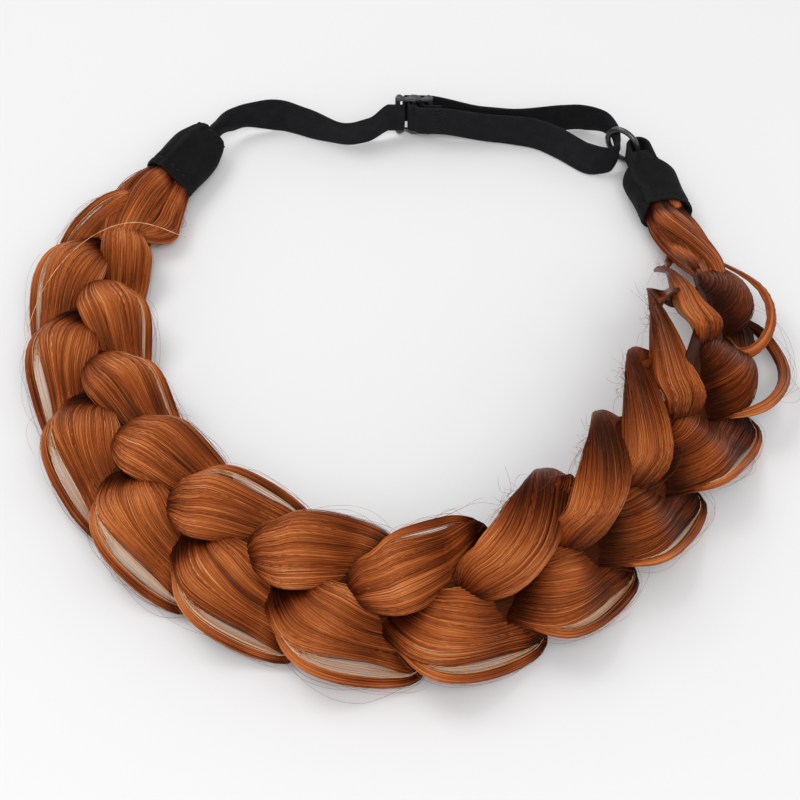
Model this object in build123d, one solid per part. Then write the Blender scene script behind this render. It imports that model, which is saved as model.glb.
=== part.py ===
from build123d import *
from collections import namedtuple
import math
import os

# A headband: three strands of hair braided together and pulled out into wide
# lobes, lying on a table. A black sleeve closes each end of the braid, and a
# narrow elastic with a slider and a ring joins the two sleeves at the back.
# Lengths are millimetres and angles are degrees. +Z is up, and the middle of the
# braid lies towards -Y.

# Braid: strand_pitch is the length from one lobe to the next on one side,
# strand_swing how far a strand's middle goes to each side, strand_edge how thin its
# edges are, rim_sharpness how soon a lobe takes its own side's share, and
# braid_settle how much higher it lies than its outline alone would let it.
loop_radius = 92.0
loop_centre_y = 5.0
strand_pitch = 34.0
strand_start = -47.0
strand_swing = 17.5
strand_half_width = 9.5
strand_spread = 2.2
strand_flat_thickness = 5.0
strand_crossing_thickness = 9.0
strand_edge = 1.5
strand_gap = 1.45
strand_sections = 166
strand_corners = 10
rim_sharpness = 2.5
braid_settle = 1.1

# Sleeves: the tucks are how deep the hair and the strap go in.
hair_tuck = 8.0
sleeve_length = 27.0
sleeve_width = 18.0
sleeve_thickness = 9.4
sleeve_wall = 1.2
sleeve_corner = 3.4
strap_tuck = 5.0
loop_band_thickness = 1.2

# Strap: strap_straight is its first stretch in line with the left sleeve.
strap_width = 12.0
strap_thickness = 1.1
strap_lift = 0.1
strap_straight = 3.5
fit_gap = 0.3

# Slider: slider_turn is the strap's bend round its bars.
slider_bar = 1.8
slider_window = 3.8
slider_rail = 2.1
slider_edge_gap = 0.4
slider_corner = 1.6
slider_turn = 0.7

# Ring: ring_turn is how its plane is turned from the X axis.
ring_radius = 6.2
ring_wire_radius = 0.95
ring_turn = -38.0

# One row for each station of the braid, from the left sleeve round the front to
# the right one. angle is the place round the loop, 0 at the front. radius is a
# share of loop_radius. tilt is how the braid's face is turned there: 90 lies flat,
# 0 stands on its outer rim. bend is how much more the outer half is tilted than the
# inner half. inner and outer are how far the lobes are pulled out on each side, as
# shares of strand_swing. full is how thick the hair is, 1 in the middle. rise lifts
# the braid to the sleeve's mouth, as a share of sleeve_width. The last three are how
# far the hair is pushed along the braid at its inner rim, its middle and its outer
# rim, as shares of strand_pitch, less than 0 towards the left sleeve.
STATION_FIELDS = "angle radius tilt bend inner outer full rise push_in push push_out"
Station = namedtuple("Station", STATION_FIELDS)
STATIONS = [
    Station(-144, 1.391, 128, 0, 0.80, 0.80, 0.27, 0.19, 0, 0, 0),
    Station(-141, 1.342, 125, 0, 0.80, 0.80, 0.30, 0.16, 0, 0, 0),
    Station(-134, 1.315, 116, 0, 0.80, 0.66, 0.46, 0.07, 0, 0, 0),
    Station(-124, 1.272, 104, -5, 0.85, 0.66, 0.74, 0, -0.03, -0.01, 0),
    Station(-110, 1.174, 94, -20, 0.90, 0.66, 0.90, 0, -0.06, -0.03, 0),
    Station(-94, 1.065, 87, -20, 0.93, 0.64, 0.93, 0, -0.03, -0.02, 0),
    Station(-75, 0.978, 80, -10, 0.94, 0.69, 1.00, 0, 0, 0, 0),
    Station(-55, 0.924, 72, 0, 0.97, 0.73, 1.00, 0, -0.01, -0.02, -0.03),
    Station(-34, 0.891, 64, 0, 0.97, 0.76, 1.00, 0, -0.02, -0.05, -0.07),
    Station(-12, 0.913, 58, 0, 0.96, 0.75, 1.00, 0, 0, -0.07, -0.16),
    Station(8, 0.924, 55, 5, 0.98, 0.75, 1.00, 0, 0.03, -0.09, -0.25),
    Station(28, 0.902, 50, 15, 1.04, 0.75, 1.00, 0, 0.03, -0.12, -0.29),
    Station(48, 0.880, 46, 30, 1.16, 0.76, 1.00, 0, -0.08, -0.20, -0.32),
    Station(68, 0.913, 43, 40, 1.12, 0.76, 1.00, 0, -0.26, -0.28, -0.32),
    Station(86, 0.978, 42, 45, 1.06, 0.83, 1.00, 0, -0.35, -0.35, -0.36),
    Station(102, 1.076, 44, 45, 1.03, 1.11, 0.95, 0, -0.40, -0.41, -0.46),
    Station(113, 1.152, 52, 35, 0.95, 1.27, 0.82, 0.03, -0.38, -0.41, -0.50),
    Station(122, 1.217, 68, 10, 0.85, 1.06, 0.56, 0, -0.29, -0.32, -0.40),
    Station(129, 1.272, 80, 0, 0.80, 0.82, 0.38, 0.06, -0.10, -0.10, -0.12),
    Station(133, 1.315, 84, 0, 0.80, 0.80, 0.31, 0.11, 0, 0, 0),
    Station(136, 1.359, 84, 0, 0.80, 0.80, 0.30, 0.11, 0, 0, 0),
]

# Worked out from the sizes above
period = 3 * strand_pitch
crossing_rise = (strand_crossing_thickness + strand_gap) / math.sqrt(3)
braid_half_width = strand_swing + strand_half_width
braid_half_thickness = 0.87 * crossing_rise + strand_crossing_thickness / 2
slider_height = strap_width + 2 * slider_edge_gap + 2 * slider_rail
slider_length = 3 * slider_bar + 2 * slider_window
slider_z = slider_height / 2 + strap_lift
ring_z = ring_radius + ring_wire_radius + strap_lift
strap_z = strap_width / 2 + strap_lift


def blend(rows, where, field, at_where):
    """Read a table's column between its rows, along a smooth curve."""
    places = [getattr(row, where) for row in rows]
    values = [getattr(row, field) for row in rows]
    last = len(rows) - 1
    i = 0
    while i < last - 1 and places[i + 1] < at_where:
        i += 1

    def slope(k):
        below = max(k - 1, 0)
        above = min(k + 1, last)
        return (values[above] - values[below]) / (places[above] - places[below])

    step = places[i + 1] - places[i]
    t = min(max((at_where - places[i]) / step, 0), 1)
    start = (1 + 2 * t) * (1 - t) ** 2 * values[i] + t * (1 - t) ** 2 * step * slope(i)
    end = t * t * (3 - 2 * t) * values[i + 1] - t * t * (1 - t) * step * slope(i + 1)
    return start + end


# Spine of the braid

PUSHES = ("push_in", "push", "push_out")
SPOT_FIELDS = "s x y z out_x out_y tilt bend inner outer full push_in push push_out"
Spot = namedtuple("Spot", SPOT_FIELDS)


def resting_height(tilt, bend, inner, outer, full):
    """How high the spine lies when this cut through the braid rests on the table."""
    lowest = 0
    for i in range(-10, 11):
        side = i / 10
        across = side * braid_half_width * full * (outer if side > 0 else inner)
        thick = braid_half_thickness * full * math.sqrt(1 - side**4)
        chord = tilt + bend * across / braid_half_width / 2
        face = tilt + bend * across / braid_half_width
        low = -math.cos(chord) * across - thick * abs(math.sin(face))
        lowest = min(lowest, low)
    return braid_settle - lowest


def make_spine(steps=500):
    """The braid's middle line as close spots, from the left end to the right end."""
    plan = []
    for i in range(steps + 1):
        share = i / steps
        angle = STATIONS[0].angle * (1 - share) + STATIONS[-1].angle * share
        reach = loop_radius * blend(STATIONS, "angle", "radius", angle)
        turn = math.radians(angle)
        plan.append((angle, reach * math.sin(turn), loop_centre_y - reach * math.cos(turn)))
    spots = []
    s = 0
    for i, (angle, x, y) in enumerate(plan):
        _, back_x, back_y = plan[max(i - 1, 0)]
        _, next_x, next_y = plan[min(i + 1, steps)]
        s += math.hypot(x - back_x, y - back_y)
        run = math.hypot(next_x - back_x, next_y - back_y)
        tilt = math.radians(blend(STATIONS, "angle", "tilt", angle))
        bend = math.radians(blend(STATIONS, "angle", "bend", angle))
        inner = blend(STATIONS, "angle", "inner", angle)
        outer = blend(STATIONS, "angle", "outer", angle)
        full = blend(STATIONS, "angle", "full", angle)
        rise = sleeve_width * blend(STATIONS, "angle", "rise", angle)
        z = resting_height(tilt, bend, inner, outer, full) + rise
        out_x = (next_y - back_y) / run
        out_y = -(next_x - back_x) / run
        pushes = [strand_pitch * blend(STATIONS, "angle", name, angle) for name in PUSHES]
        spots.append(Spot(s, x, y, z, out_x, out_y, tilt, bend, inner, outer, full, *pushes))
    return spots


spine = make_spine()
braid_length = spine[-1].s


def at(s):
    """The spine at the distance s along it. It runs straight inside each sleeve."""
    s = min(max(s, 0), braid_length)
    held = min(max(s, hair_tuck), braid_length - hair_tuck)
    low, high = 0, len(spine) - 1
    while high - low > 1:
        middle = (low + high) // 2
        if spine[middle].s <= held:
            low = middle
        else:
            high = middle
    a, b = spine[low], spine[high]
    t = (held - a.s) / (b.s - a.s)
    spot = Spot(*(p + (q - p) * t for p, q in zip(a, b)))
    inside = s - held
    return spot._replace(s=s, x=spot.x - spot.out_y * inside, y=spot.y + spot.out_x * inside)


def place(s, across, up):
    """A point of the braid: along the spine, across to the outer rim, up from its face."""
    side = across / braid_half_width
    here = at(s)
    lean = (here.push_out - here.push_in) / 2
    curve = (here.push_out + here.push_in) / 2 - here.push
    spot = at(s + here.push + lean * side + curve * side * side)
    chord = spot.tilt + spot.bend * side / 2
    face = spot.tilt + spot.bend * side
    out = math.sin(chord) * across + math.cos(face) * up
    lift = math.sin(face) * up - math.cos(chord) * across
    return Vector(spot.x + spot.out_x * out, spot.y + spot.out_y * out, spot.z + lift)


# Solids with flat faces

def faceted(sections):
    """A closed solid over a chain of sections with as many corners each."""
    faces = []
    for near, far in zip(sections, sections[1:]):
        for i in range(len(near)):
            j = (i + 1) % len(near)
            faces.append(Face(Wire.make_polygon([near[i], near[j], far[j]])))
            faces.append(Face(Wire.make_polygon([near[i], far[j], far[i]])))
    for end in (sections[0], sections[-1]):
        middle = sum(end, Vector()) / len(end)
        for i in range(len(end)):
            j = (i + 1) % len(end)
            faces.append(Face(Wire.make_polygon([end[i], end[j], middle])))
    return Solid(Shell(faces))


# Strands

def pulled_out(turn, spot):
    """How far this side's lobes are pulled out: near 1 on a full side."""
    side = 0.5 + 0.5 * math.tanh(rim_sharpness * math.sin(turn))
    return spot.inner * (1 - side) + spot.outer * side


def strand_middle(s, turn):
    """A strand's middle, across and up from the spine."""
    spot = at(s)
    across = strand_swing * spot.full * pulled_out(turn, spot) * math.sin(turn)
    return across, crossing_rise * spot.full * math.sin(2 * turn)


def strand_section(s, turn):
    """The cut across a strand where it crosses the spine's distance s."""
    spot = at(s)
    across, up = strand_middle(s, turn)
    step = 0.01
    ahead, _ = strand_middle(s + step, turn + math.tau * step / period)
    behind, _ = strand_middle(s - step, turn - math.tau * step / period)
    run = math.hypot(2 * step, ahead - behind)
    side_s = -(ahead - behind) / run
    side_across = 2 * step / run
    over = math.sin(2 * turn) ** 2
    share = spot.full * min(pulled_out(turn, spot), 1)
    half_width = share * (strand_half_width + strand_spread * over)
    swell = strand_crossing_thickness - strand_flat_thickness
    half_thickness = spot.full * (strand_flat_thickness + swell * over) / 2
    corners = []
    for i in range(strand_corners):
        round_it = math.tau * i / strand_corners
        wide = half_width * math.cos(round_it)
        rise = math.sin(round_it)
        thick = half_thickness * math.copysign(abs(rise) ** strand_edge, rise)
        corners.append(place(s + side_s * wide, across + side_across * wide, up + thick))
    return corners


def make_strand(number):
    """One strand of hair, woven from the left sleeve to the right one."""
    sections = []
    for i in range(strand_sections):
        s = braid_length * i / (strand_sections - 1)
        turn = math.tau * (s / period + number / 3) + math.radians(strand_start)
        sections.append(strand_section(s, turn))
    return faceted(sections)


# Sleeves

def rounded_section(origin, wide_way, thick_way, width, thickness, corner):
    """A rounded rectangle of sixteen corners, as a section of a sleeve."""
    corner = min(corner, width * 0.49, thickness * 0.49)
    points = []
    for quarter, (sign_w, sign_t) in enumerate(((1, 1), (-1, 1), (-1, -1), (1, -1))):
        for i in range(4):
            angle = math.radians(90 * quarter + 30 * i)
            wide = sign_w * (width / 2 - corner) + corner * math.cos(angle)
            thick = sign_t * (thickness / 2 - corner) + corner * math.sin(angle)
            points.append(origin + wide_way * wide + thick_way * thick)
    return points


class Sleeve:
    """The frame of a sleeve: its mouth, where the hair goes in, and the way it points."""

    def __init__(self, s, sign):
        spot = at(s)
        self.mouth = Vector(spot.x, spot.y, spot.z)
        self.axis = Vector(-spot.out_y, spot.out_x, 0).normalized() * sign
        out = Vector(spot.out_x, spot.out_y, 0)
        self.wide = out * math.sin(spot.tilt) - Vector(0, 0, math.cos(spot.tilt))
        self.thick = self.axis.cross(self.wide).normalized()

    def cut(self, depth, width, thickness, corner=sleeve_corner):
        """A rounded section at this depth from the mouth."""
        origin = self.mouth + self.axis * depth
        return rounded_section(origin, self.wide, self.thick, width, thickness, corner)

    def pocket(self):
        """The hollow for the hair, from its bottom out to the mouth's edge."""
        width = sleeve_width - 2 * sleeve_wall
        thickness = sleeve_thickness - 2 * sleeve_wall
        corner = sleeve_corner - sleeve_wall
        return [
            self.cut(hair_tuck + 2 * fit_gap, width * 0.96, thickness * 0.96, corner),
            self.cut(0, width, thickness, corner),
        ]


left = Sleeve(hair_tuck, -1)
right = Sleeve(braid_length - hair_tuck, 1)


def make_left_sleeve():
    """The left sleeve: hair goes in at the mouth, the strap in at the far end."""
    slot_width = strap_width * strap_gather + 2 * fit_gap
    slot_thickness = strap_thickness + 2 * fit_gap
    slot_corner = slot_thickness / 4
    skin = [
        left.cut(0, sleeve_width, sleeve_thickness),
        left.cut(sleeve_length * 0.45, sleeve_width, sleeve_thickness * 0.9),
        left.cut(sleeve_length * 0.66, sleeve_width * 0.98, sleeve_thickness * 0.8),
        left.cut(sleeve_length * 0.82, sleeve_width * 0.82, sleeve_thickness * 0.7),
        left.cut(sleeve_length * 0.94, sleeve_width * 0.66, sleeve_thickness * 0.6),
        left.cut(sleeve_length, sleeve_width * 0.52, sleeve_thickness * 0.48),
    ]
    slot = [
        left.cut(sleeve_length, slot_width, slot_thickness, slot_corner),
        left.cut(sleeve_length - strap_tuck - fit_gap, slot_width, slot_thickness, slot_corner),
    ]
    return faceted(left.pocket() + skin + slot)


# The right sleeve ends in a band that goes round the ring's wire.
band_height = 1.22 * ring_radius
band_inside = 3.0
band_outside = band_inside + loop_band_thickness
band_run = 3.4
wire_right = right.mouth + right.axis * (sleeve_length + band_run)
wire_right = Vector(wire_right.X, wire_right.Y, ring_z)
ring_way = Vector(math.cos(math.radians(ring_turn)), math.sin(math.radians(ring_turn)), 0)
ring_centre = wire_right - ring_way * ring_radius


def make_right_sleeve():
    """The right sleeve, with its band round the ring."""
    up = Vector(0, 0, 1)
    side = right.axis.cross(up)
    side = side if side.dot(right.wide) > 0 else side * -1
    flip = up if right.axis.cross(side).Z > 0 else up * -1
    drop = Vector(0, 0, ring_z - right.mouth.Z)

    def level(depth, share, width, thickness):
        """A section that turns level and rises to the ring's height."""
        origin = right.mouth + right.axis * depth + drop * share
        return rounded_section(origin, side, flip, width, thickness, sleeve_corner)

    length = sleeve_length
    skin = [
        right.cut(0, sleeve_width, sleeve_thickness),
        right.cut(length * 0.35, sleeve_width, sleeve_thickness * 0.92),
        level(length * 0.66, 0.3, sleeve_width * 1.02, sleeve_thickness * 0.84),
        level(length * 0.80, 0.6, sleeve_width * 0.88, sleeve_thickness * 0.8),
        level(length * 0.90, 0.9, sleeve_width * 0.6, band_height),
        level(length * 0.97, 1.0, 2 * band_outside, band_height),
    ]
    body = faceted(right.pocket() + skin)
    joint = length * 0.97 - sleeve_wall
    band_length = (wire_right - right.mouth).dot(right.axis) - joint
    middle = wire_right - right.axis * (band_length / 2) - up * (band_height / 2)
    flat = Plane(middle, x_dir=right.axis, z_dir=up)
    outline = SlotCenterToCenter(band_length, 2 * band_outside)
    hole = SlotCenterToCenter(band_length, 2 * band_inside)
    keep = Pos(band_length / 4) * Rectangle(band_length * 1.5 + 2 * band_outside, 4 * band_outside)
    band = extrude(flat * ((outline - hole) & keep), band_height)
    return body + band


# Ring

def make_ring():
    """The wire ring, which stands on edge between the strap and the band."""
    across = ring_way.cross(Vector(0, 0, 1))
    return Plane(ring_centre, x_dir=ring_way, z_dir=across) * Torus(ring_radius, ring_wire_radius)


# Strap: one row for each bend of its middle line, seen from above. along and bow
# place the bend on the straight line from the left sleeve to the ring: a share of
# its length, and how far behind it, in strap widths. lean turns the strap about its
# own line. gather is how much of its width is left where it is bunched. middle is
# the height of its middle line.
strap_gather = 0.42
ring_gather = band_height / strap_width
Bend = namedtuple("Bend", "along bow lean gather middle")

strap_start = left.mouth + left.axis * (sleeve_length - strap_tuck)
strap_exit = left.mouth + left.axis * sleeve_length
strap_lead = left.mouth + left.axis * (sleeve_length + strap_straight)
chord = Vector(ring_centre.X - strap_exit.X, ring_centre.Y - strap_exit.Y, 0)
chord_way = chord.normalized()
chord_side = Vector(-chord_way.Y, chord_way.X, 0)
sleeve_side = Vector(-left.axis.Y, left.axis.X, 0)
exit_lean = math.degrees(math.atan2(left.wide.dot(sleeve_side), left.wide.Z))

LEFT_RUN = [
    Bend(0.055, 0.82, 10, 0.75, strap_z + 1.5),
    Bend(0.150, 1.16, 14, 1.00, strap_z),
    Bend(0.225, 0.78, 8, 1.00, strap_z),
    Bend(0.325, 0.27, -10, 1.00, strap_z),
    Bend(0.380, 0.52, -6, 1.00, strap_z),
]
BACK_RUN = [
    Bend(0.660, 1.00, 6, 1.00, strap_z),
    Bend(0.745, 0.93, 3, 1.00, strap_z),
    Bend(0.830, 1.14, 0, 1.00, strap_z),
    Bend(0.910, 1.28, -4, 1.00, strap_z),
    Bend(0.965, 0.88, 0, 0.80, ring_z),
]
FRONT_RUN = [
    Bend(0.965, -0.55, -5, 0.90, strap_z),
    Bend(0.915, -0.55, -12, 1.00, strap_z),
    Bend(0.850, 0.08, -13, 1.00, strap_z),
    Bend(0.790, 0.53, -10, 1.00, strap_z),
    Bend(0.690, 0.68, -4, 1.00, strap_z),
]
SLIDER_PLACE = Bend(0.489, 0.98, 0, 1.00, slider_z)


def on_chord(bend):
    """Where a bend of the strap lies, seen from above."""
    spot = strap_exit + chord * bend.along + chord_side * (bend.bow * strap_width)
    return Vector(spot.X, spot.Y, 0)


slider_centre = on_chord(SLIDER_PLACE)
slider_way = chord_way


def by_slider(x, y):
    """A point beside the slider: x along the strap, y behind the slider's middle."""
    return slider_centre + slider_way * x + chord_side * y


# The strap's passes through the slider, from bar to bar. It goes in front of the
# first bar and behind the middle one. Its far end is folded round the middle bar.
bar_step = slider_bar + slider_window
close = slider_bar / 2 + fit_gap + strap_thickness / 2
behind = close + strap_thickness + fit_gap
THROUGH = [
    (-bar_step - 3.2, -close),
    (-slider_window + 0.25, -close),
    (-slider_window + 0.25, behind),
    (bar_step, behind),
]
ROUND_MIDDLE = [
    (bar_step + 2.5, -close - strap_thickness - fit_gap),
    (slider_bar, -close - strap_thickness - fit_gap),
    (0.4, -close),
    (-close, -close),
    (-close, close),
    (close, close),
    (bar_step - slider_bar, -close),
    (bar_step + 4.0, -close),
]


Turn = namedtuple("Turn", "point lean gather middle largest")


def strap_turns():
    """Every bend of the strap's middle line, in order, and the largest arc it may take."""
    gentle = 30.0
    turns = []
    for spot in (strap_start, strap_lead):
        turns.append(Turn(Vector(spot.X, spot.Y, 0), exit_lean, strap_gather, spot.Z, gentle))
    for row in LEFT_RUN:
        turns.append(Turn(on_chord(row), row.lean, row.gather, row.middle, gentle))
    for x, y in THROUGH:
        turns.append(Turn(by_slider(x, y), 0, 1, slider_z, slider_turn))
    for row in BACK_RUN:
        turns.append(Turn(on_chord(row), row.lean, row.gather, row.middle, gentle))
    for step in (0.55, -0.75):
        spot = ring_centre - ring_way * (0.38 * ring_radius) + chord_side * (step * ring_radius)
        turns.append(Turn(Vector(spot.X, spot.Y, 0), 0, ring_gather, ring_z, gentle))
    for row in FRONT_RUN:
        turns.append(Turn(on_chord(row), row.lean, row.gather, row.middle, gentle))
    for x, y in ROUND_MIDDLE:
        turns.append(Turn(by_slider(x, y), 0, 1, slider_z, slider_turn))
    return turns


def arc_radius(before, turn, after, share=0.47):
    """The largest arc that fits a bend between its two runs."""
    first = turn.point - before.point
    second = after.point - turn.point
    angle = math.radians(first.get_angle(second))
    room = share * min(first.length, second.length)
    return min(turn.largest, room / math.tan(max(angle, 0.02) / 2))


Sample = namedtuple("Sample", "travelled spot way")


def sample_line(line, widest_turn=0.4, longest=6.0):
    """Close places along a line of runs and arcs, with the way it goes there."""
    samples = []
    travelled = 0
    for edge in line.edges():
        turned = math.radians(edge.tangent_at(0).get_angle(edge.tangent_at(1)))
        count = max(1, math.ceil(turned / widest_turn), math.ceil(edge.length / longest))
        for i in range(count):
            share = i / count
            place_now = edge.position_at(share)
            samples.append(Sample(travelled + share * edge.length, place_now, edge.tangent_at(share)))
        travelled += edge.length
    last = line.edges()[-1]
    samples.append(Sample(travelled, last.position_at(1), last.tangent_at(1)))
    return samples


def nearest_sample(samples, start, point, hurry=0.02):
    """The sample nearest to a point, from start on. Where two tie, it is the first."""
    begin = samples[start].travelled

    def cost(i):
        return (samples[i].spot - point).length + hurry * (samples[i].travelled - begin)

    return min(range(start, len(samples)), key=cost)


def make_strap():
    """The elastic, as one flat band on edge along its whole way."""
    turns = strap_turns()
    radii = [arc_radius(*turns[i - 1 : i + 2]) for i in range(1, len(turns) - 1)]
    line = FilletPolyline(*(turn.point for turn in turns), radius=radii)
    samples = sample_line(line)
    keys = []
    start = 0
    for turn in turns:
        start = nearest_sample(samples, start, turn.point)
        keys.append((samples[start].travelled, turn.lean, turn.gather, turn.middle))
    sections = []
    for sample in samples:
        i = 0
        while i < len(keys) - 2 and keys[i + 1][0] < sample.travelled:
            i += 1
        span = max(keys[i + 1][0] - keys[i][0], 1e-6)
        t = min(max((sample.travelled - keys[i][0]) / span, 0), 1)
        t = t * t * (3 - 2 * t)
        lean, gather, middle = (p + (q - p) * t for p, q in zip(keys[i][1:], keys[i + 1][1:]))
        lean = math.radians(lean)
        side = Vector(-sample.way.Y, sample.way.X, 0)
        up = Vector(0, 0, 1)
        wide = (side * math.sin(lean) + up * math.cos(lean)) * (strap_width * gather / 2)
        thick = (side * math.cos(lean) - up * math.sin(lean)) * (strap_thickness / 2)
        centre = Vector(sample.spot.X, sample.spot.Y, middle)
        corners = [wide + thick, wide * -1 + thick, wide * -1 - thick, wide - thick]
        sections.append([centre + corner for corner in corners])
    length = samples[-1].travelled
    print("strap length", round(length, 1), "smallest bend", round(min(radii), 2))
    return faceted(sections)


# Slider

def make_slider():
    """The slide: a rounded plate with two windows, which leave three bars."""
    plate = RectangleRounded(slider_length, slider_height, slider_corner)
    window = Rectangle(slider_window, strap_width + 2 * slider_edge_gap)
    offset = (slider_bar + slider_window) / 2
    outline = plate - Pos(-offset) * window - Pos(offset) * window
    centre = Vector(slider_centre.X, slider_centre.Y, slider_z) + chord_side * (slider_bar / 2)
    face = Plane(centre, x_dir=slider_way, z_dir=chord_side * -1)
    return extrude(face * outline, slider_bar)


# The whole part stands on the table, with its origin under the middle of its box.

pieces = {
    "strand_1": make_strand(0),
    "strand_2": make_strand(1),
    "strand_3": make_strand(2),
    "left_tab": make_left_sleeve(),
    "right_tab": make_right_sleeve(),
    "elastic_strap": make_strap(),
    "slider": make_slider(),
    "ring": make_ring(),
}
boxes = [piece.bounding_box() for piece in pieces.values()]
low = [min(tuple(box.min)[i] for box in boxes) for i in range(3)]
high = [max(tuple(box.max)[i] for box in boxes) for i in range(3)]
shift = Pos(-(low[0] + high[0]) / 2, -(low[1] + high[1]) / 2, -low[2])
print("box", [round(high[i] - low[i], 1) for i in range(3)], "moved by", shift.position)
for name, piece in pieces.items():
    print(name, "lowest", round(piece.bounding_box().min.Z - low[2], 2))

os.makedirs("parts", exist_ok=True)
for name, piece in pieces.items():
    export_step(shift * piece, f"parts/{name}.step")
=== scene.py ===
import math

import bmesh
import bpy
import numpy as np
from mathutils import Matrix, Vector


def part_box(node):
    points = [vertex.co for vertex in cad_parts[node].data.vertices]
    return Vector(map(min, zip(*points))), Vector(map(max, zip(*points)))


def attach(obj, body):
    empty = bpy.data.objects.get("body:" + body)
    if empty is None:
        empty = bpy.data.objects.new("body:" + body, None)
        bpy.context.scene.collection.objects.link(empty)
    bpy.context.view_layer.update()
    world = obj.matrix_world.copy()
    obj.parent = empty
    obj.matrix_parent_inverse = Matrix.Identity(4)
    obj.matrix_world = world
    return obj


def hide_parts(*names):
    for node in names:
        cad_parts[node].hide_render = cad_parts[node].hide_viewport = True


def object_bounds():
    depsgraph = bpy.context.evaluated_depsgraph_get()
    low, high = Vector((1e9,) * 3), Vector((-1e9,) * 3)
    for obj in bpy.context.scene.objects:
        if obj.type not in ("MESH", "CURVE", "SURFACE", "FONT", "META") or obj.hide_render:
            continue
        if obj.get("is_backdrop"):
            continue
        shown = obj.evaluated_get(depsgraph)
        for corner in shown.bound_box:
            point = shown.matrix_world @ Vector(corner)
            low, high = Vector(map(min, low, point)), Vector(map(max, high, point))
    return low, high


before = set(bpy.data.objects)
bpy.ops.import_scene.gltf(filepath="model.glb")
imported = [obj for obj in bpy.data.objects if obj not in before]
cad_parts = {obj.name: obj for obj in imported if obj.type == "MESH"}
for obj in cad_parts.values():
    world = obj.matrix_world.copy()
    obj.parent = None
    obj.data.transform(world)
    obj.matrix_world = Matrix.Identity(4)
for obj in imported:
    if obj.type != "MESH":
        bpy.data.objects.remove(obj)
cad_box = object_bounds()

# The braid's lie. It is a flat three-strand braid, pulled out sideways into lobes and laid down in
# a ring. This section works out where its middle line runs and how its face is turned, from the
# left sleeve round the front to the right one, so that it rests on the lobes' rims.
loop_radius = 0.092
loop_centre_y = 0.005
strand_pitch = 0.034
strand_start = math.radians(-47)
strand_swing = 0.0175
strand_half_width = 0.0095
strand_spread = 0.0022
strand_flat_thickness = 0.005
strand_crossing_thickness = 0.009
strand_gap = 0.00145
strand_edge = 1.5
rim_sharpness = 2.5
braid_settle = 0.0011
hair_tuck = 0.008
sleeve_width = 0.018
period = 3 * strand_pitch
crossing_rise = (strand_crossing_thickness + strand_gap) / math.sqrt(3)
braid_half_width = strand_swing + strand_half_width
braid_half_thickness = 0.87 * crossing_rise + strand_crossing_thickness / 2

STATION_COLUMNS = "angle radius tilt bend inner outer full rise push_in push push_out".split()
STATIONS = np.array([
    (-144, 1.391, 128, 0, 0.80, 0.80, 0.27, 0.19, 0, 0, 0),
    (-141, 1.342, 125, 0, 0.80, 0.80, 0.30, 0.16, 0, 0, 0),
    (-134, 1.315, 116, 0, 0.80, 0.66, 0.46, 0.07, 0, 0, 0),
    (-124, 1.272, 104, -5, 0.85, 0.66, 0.74, 0, -0.03, -0.01, 0),
    (-110, 1.174, 94, -20, 0.90, 0.66, 0.90, 0, -0.06, -0.03, 0),
    (-94, 1.065, 87, -20, 0.93, 0.64, 0.93, 0, -0.03, -0.02, 0),
    (-75, 0.978, 80, -10, 0.94, 0.69, 1.00, 0, 0, 0, 0),
    (-55, 0.924, 72, 0, 0.97, 0.73, 1.00, 0, -0.01, -0.02, -0.03),
    (-34, 0.891, 64, 0, 0.97, 0.76, 1.00, 0, -0.02, -0.05, -0.07),
    (-12, 0.913, 58, 0, 0.96, 0.75, 1.00, 0, 0, -0.07, -0.16),
    (8, 0.924, 55, 5, 0.98, 0.75, 1.00, 0, 0.03, -0.09, -0.25),
    (28, 0.902, 50, 15, 1.04, 0.75, 1.00, 0, 0.03, -0.12, -0.29),
    (48, 0.880, 46, 30, 1.16, 0.76, 1.00, 0, -0.08, -0.20, -0.32),
    (68, 0.913, 43, 40, 1.12, 0.76, 1.00, 0, -0.26, -0.28, -0.32),
    (86, 0.978, 42, 45, 1.06, 0.83, 1.00, 0, -0.35, -0.35, -0.36),
    (102, 1.076, 44, 45, 1.03, 1.11, 0.95, 0, -0.40, -0.41, -0.46),
    (113, 1.152, 52, 35, 0.95, 1.27, 0.82, 0.03, -0.38, -0.41, -0.50),
    (122, 1.217, 68, 10, 0.85, 1.06, 0.56, 0, -0.29, -0.32, -0.40),
    (129, 1.272, 80, 0, 0.80, 0.82, 0.38, 0.06, -0.10, -0.10, -0.12),
    (133, 1.315, 84, 0, 0.80, 0.80, 0.31, 0.11, 0, 0, 0),
    (136, 1.359, 84, 0, 0.80, 0.80, 0.30, 0.11, 0, 0, 0),
])


def between(places, values, wanted):
    """Rows of values read between their places, along a smooth curve."""
    last = len(places) - 1
    low = np.maximum(np.arange(len(places)) - 1, 0)
    high = np.minimum(np.arange(len(places)) + 1, last)
    deep = (...,) + (None,) * (values.ndim - 1)
    slopes = (values[high] - values[low]) / (places[high] - places[low])[deep]
    i = np.clip(np.searchsorted(places, wanted) - 1, 0, last - 1)
    step = (places[i + 1] - places[i])[deep]
    t = np.clip((wanted - places[i])[deep] / step, 0, 1)
    start = (1 + 2 * t) * (1 - t) ** 2 * values[i] + t * (1 - t) ** 2 * step * slopes[i]
    return start + t * t * (3 - 2 * t) * values[i + 1] - t * t * (1 - t) * step * slopes[i + 1]


def resting_height(tilt, bend, inner, outer, full):
    """How high the spine lies when the braid's outline there rests on the table."""
    lowest = np.zeros_like(tilt)
    for side in np.linspace(-1, 1, 21):
        across = side * braid_half_width * full * (outer if side > 0 else inner)
        thick = braid_half_thickness * full * math.sqrt(1 - side**4)
        chord = tilt + bend * across / braid_half_width / 2
        face = tilt + bend * across / braid_half_width
        lowest = np.minimum(lowest, -np.cos(chord) * across - thick * np.abs(np.sin(face)))
    return braid_settle - lowest


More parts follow.
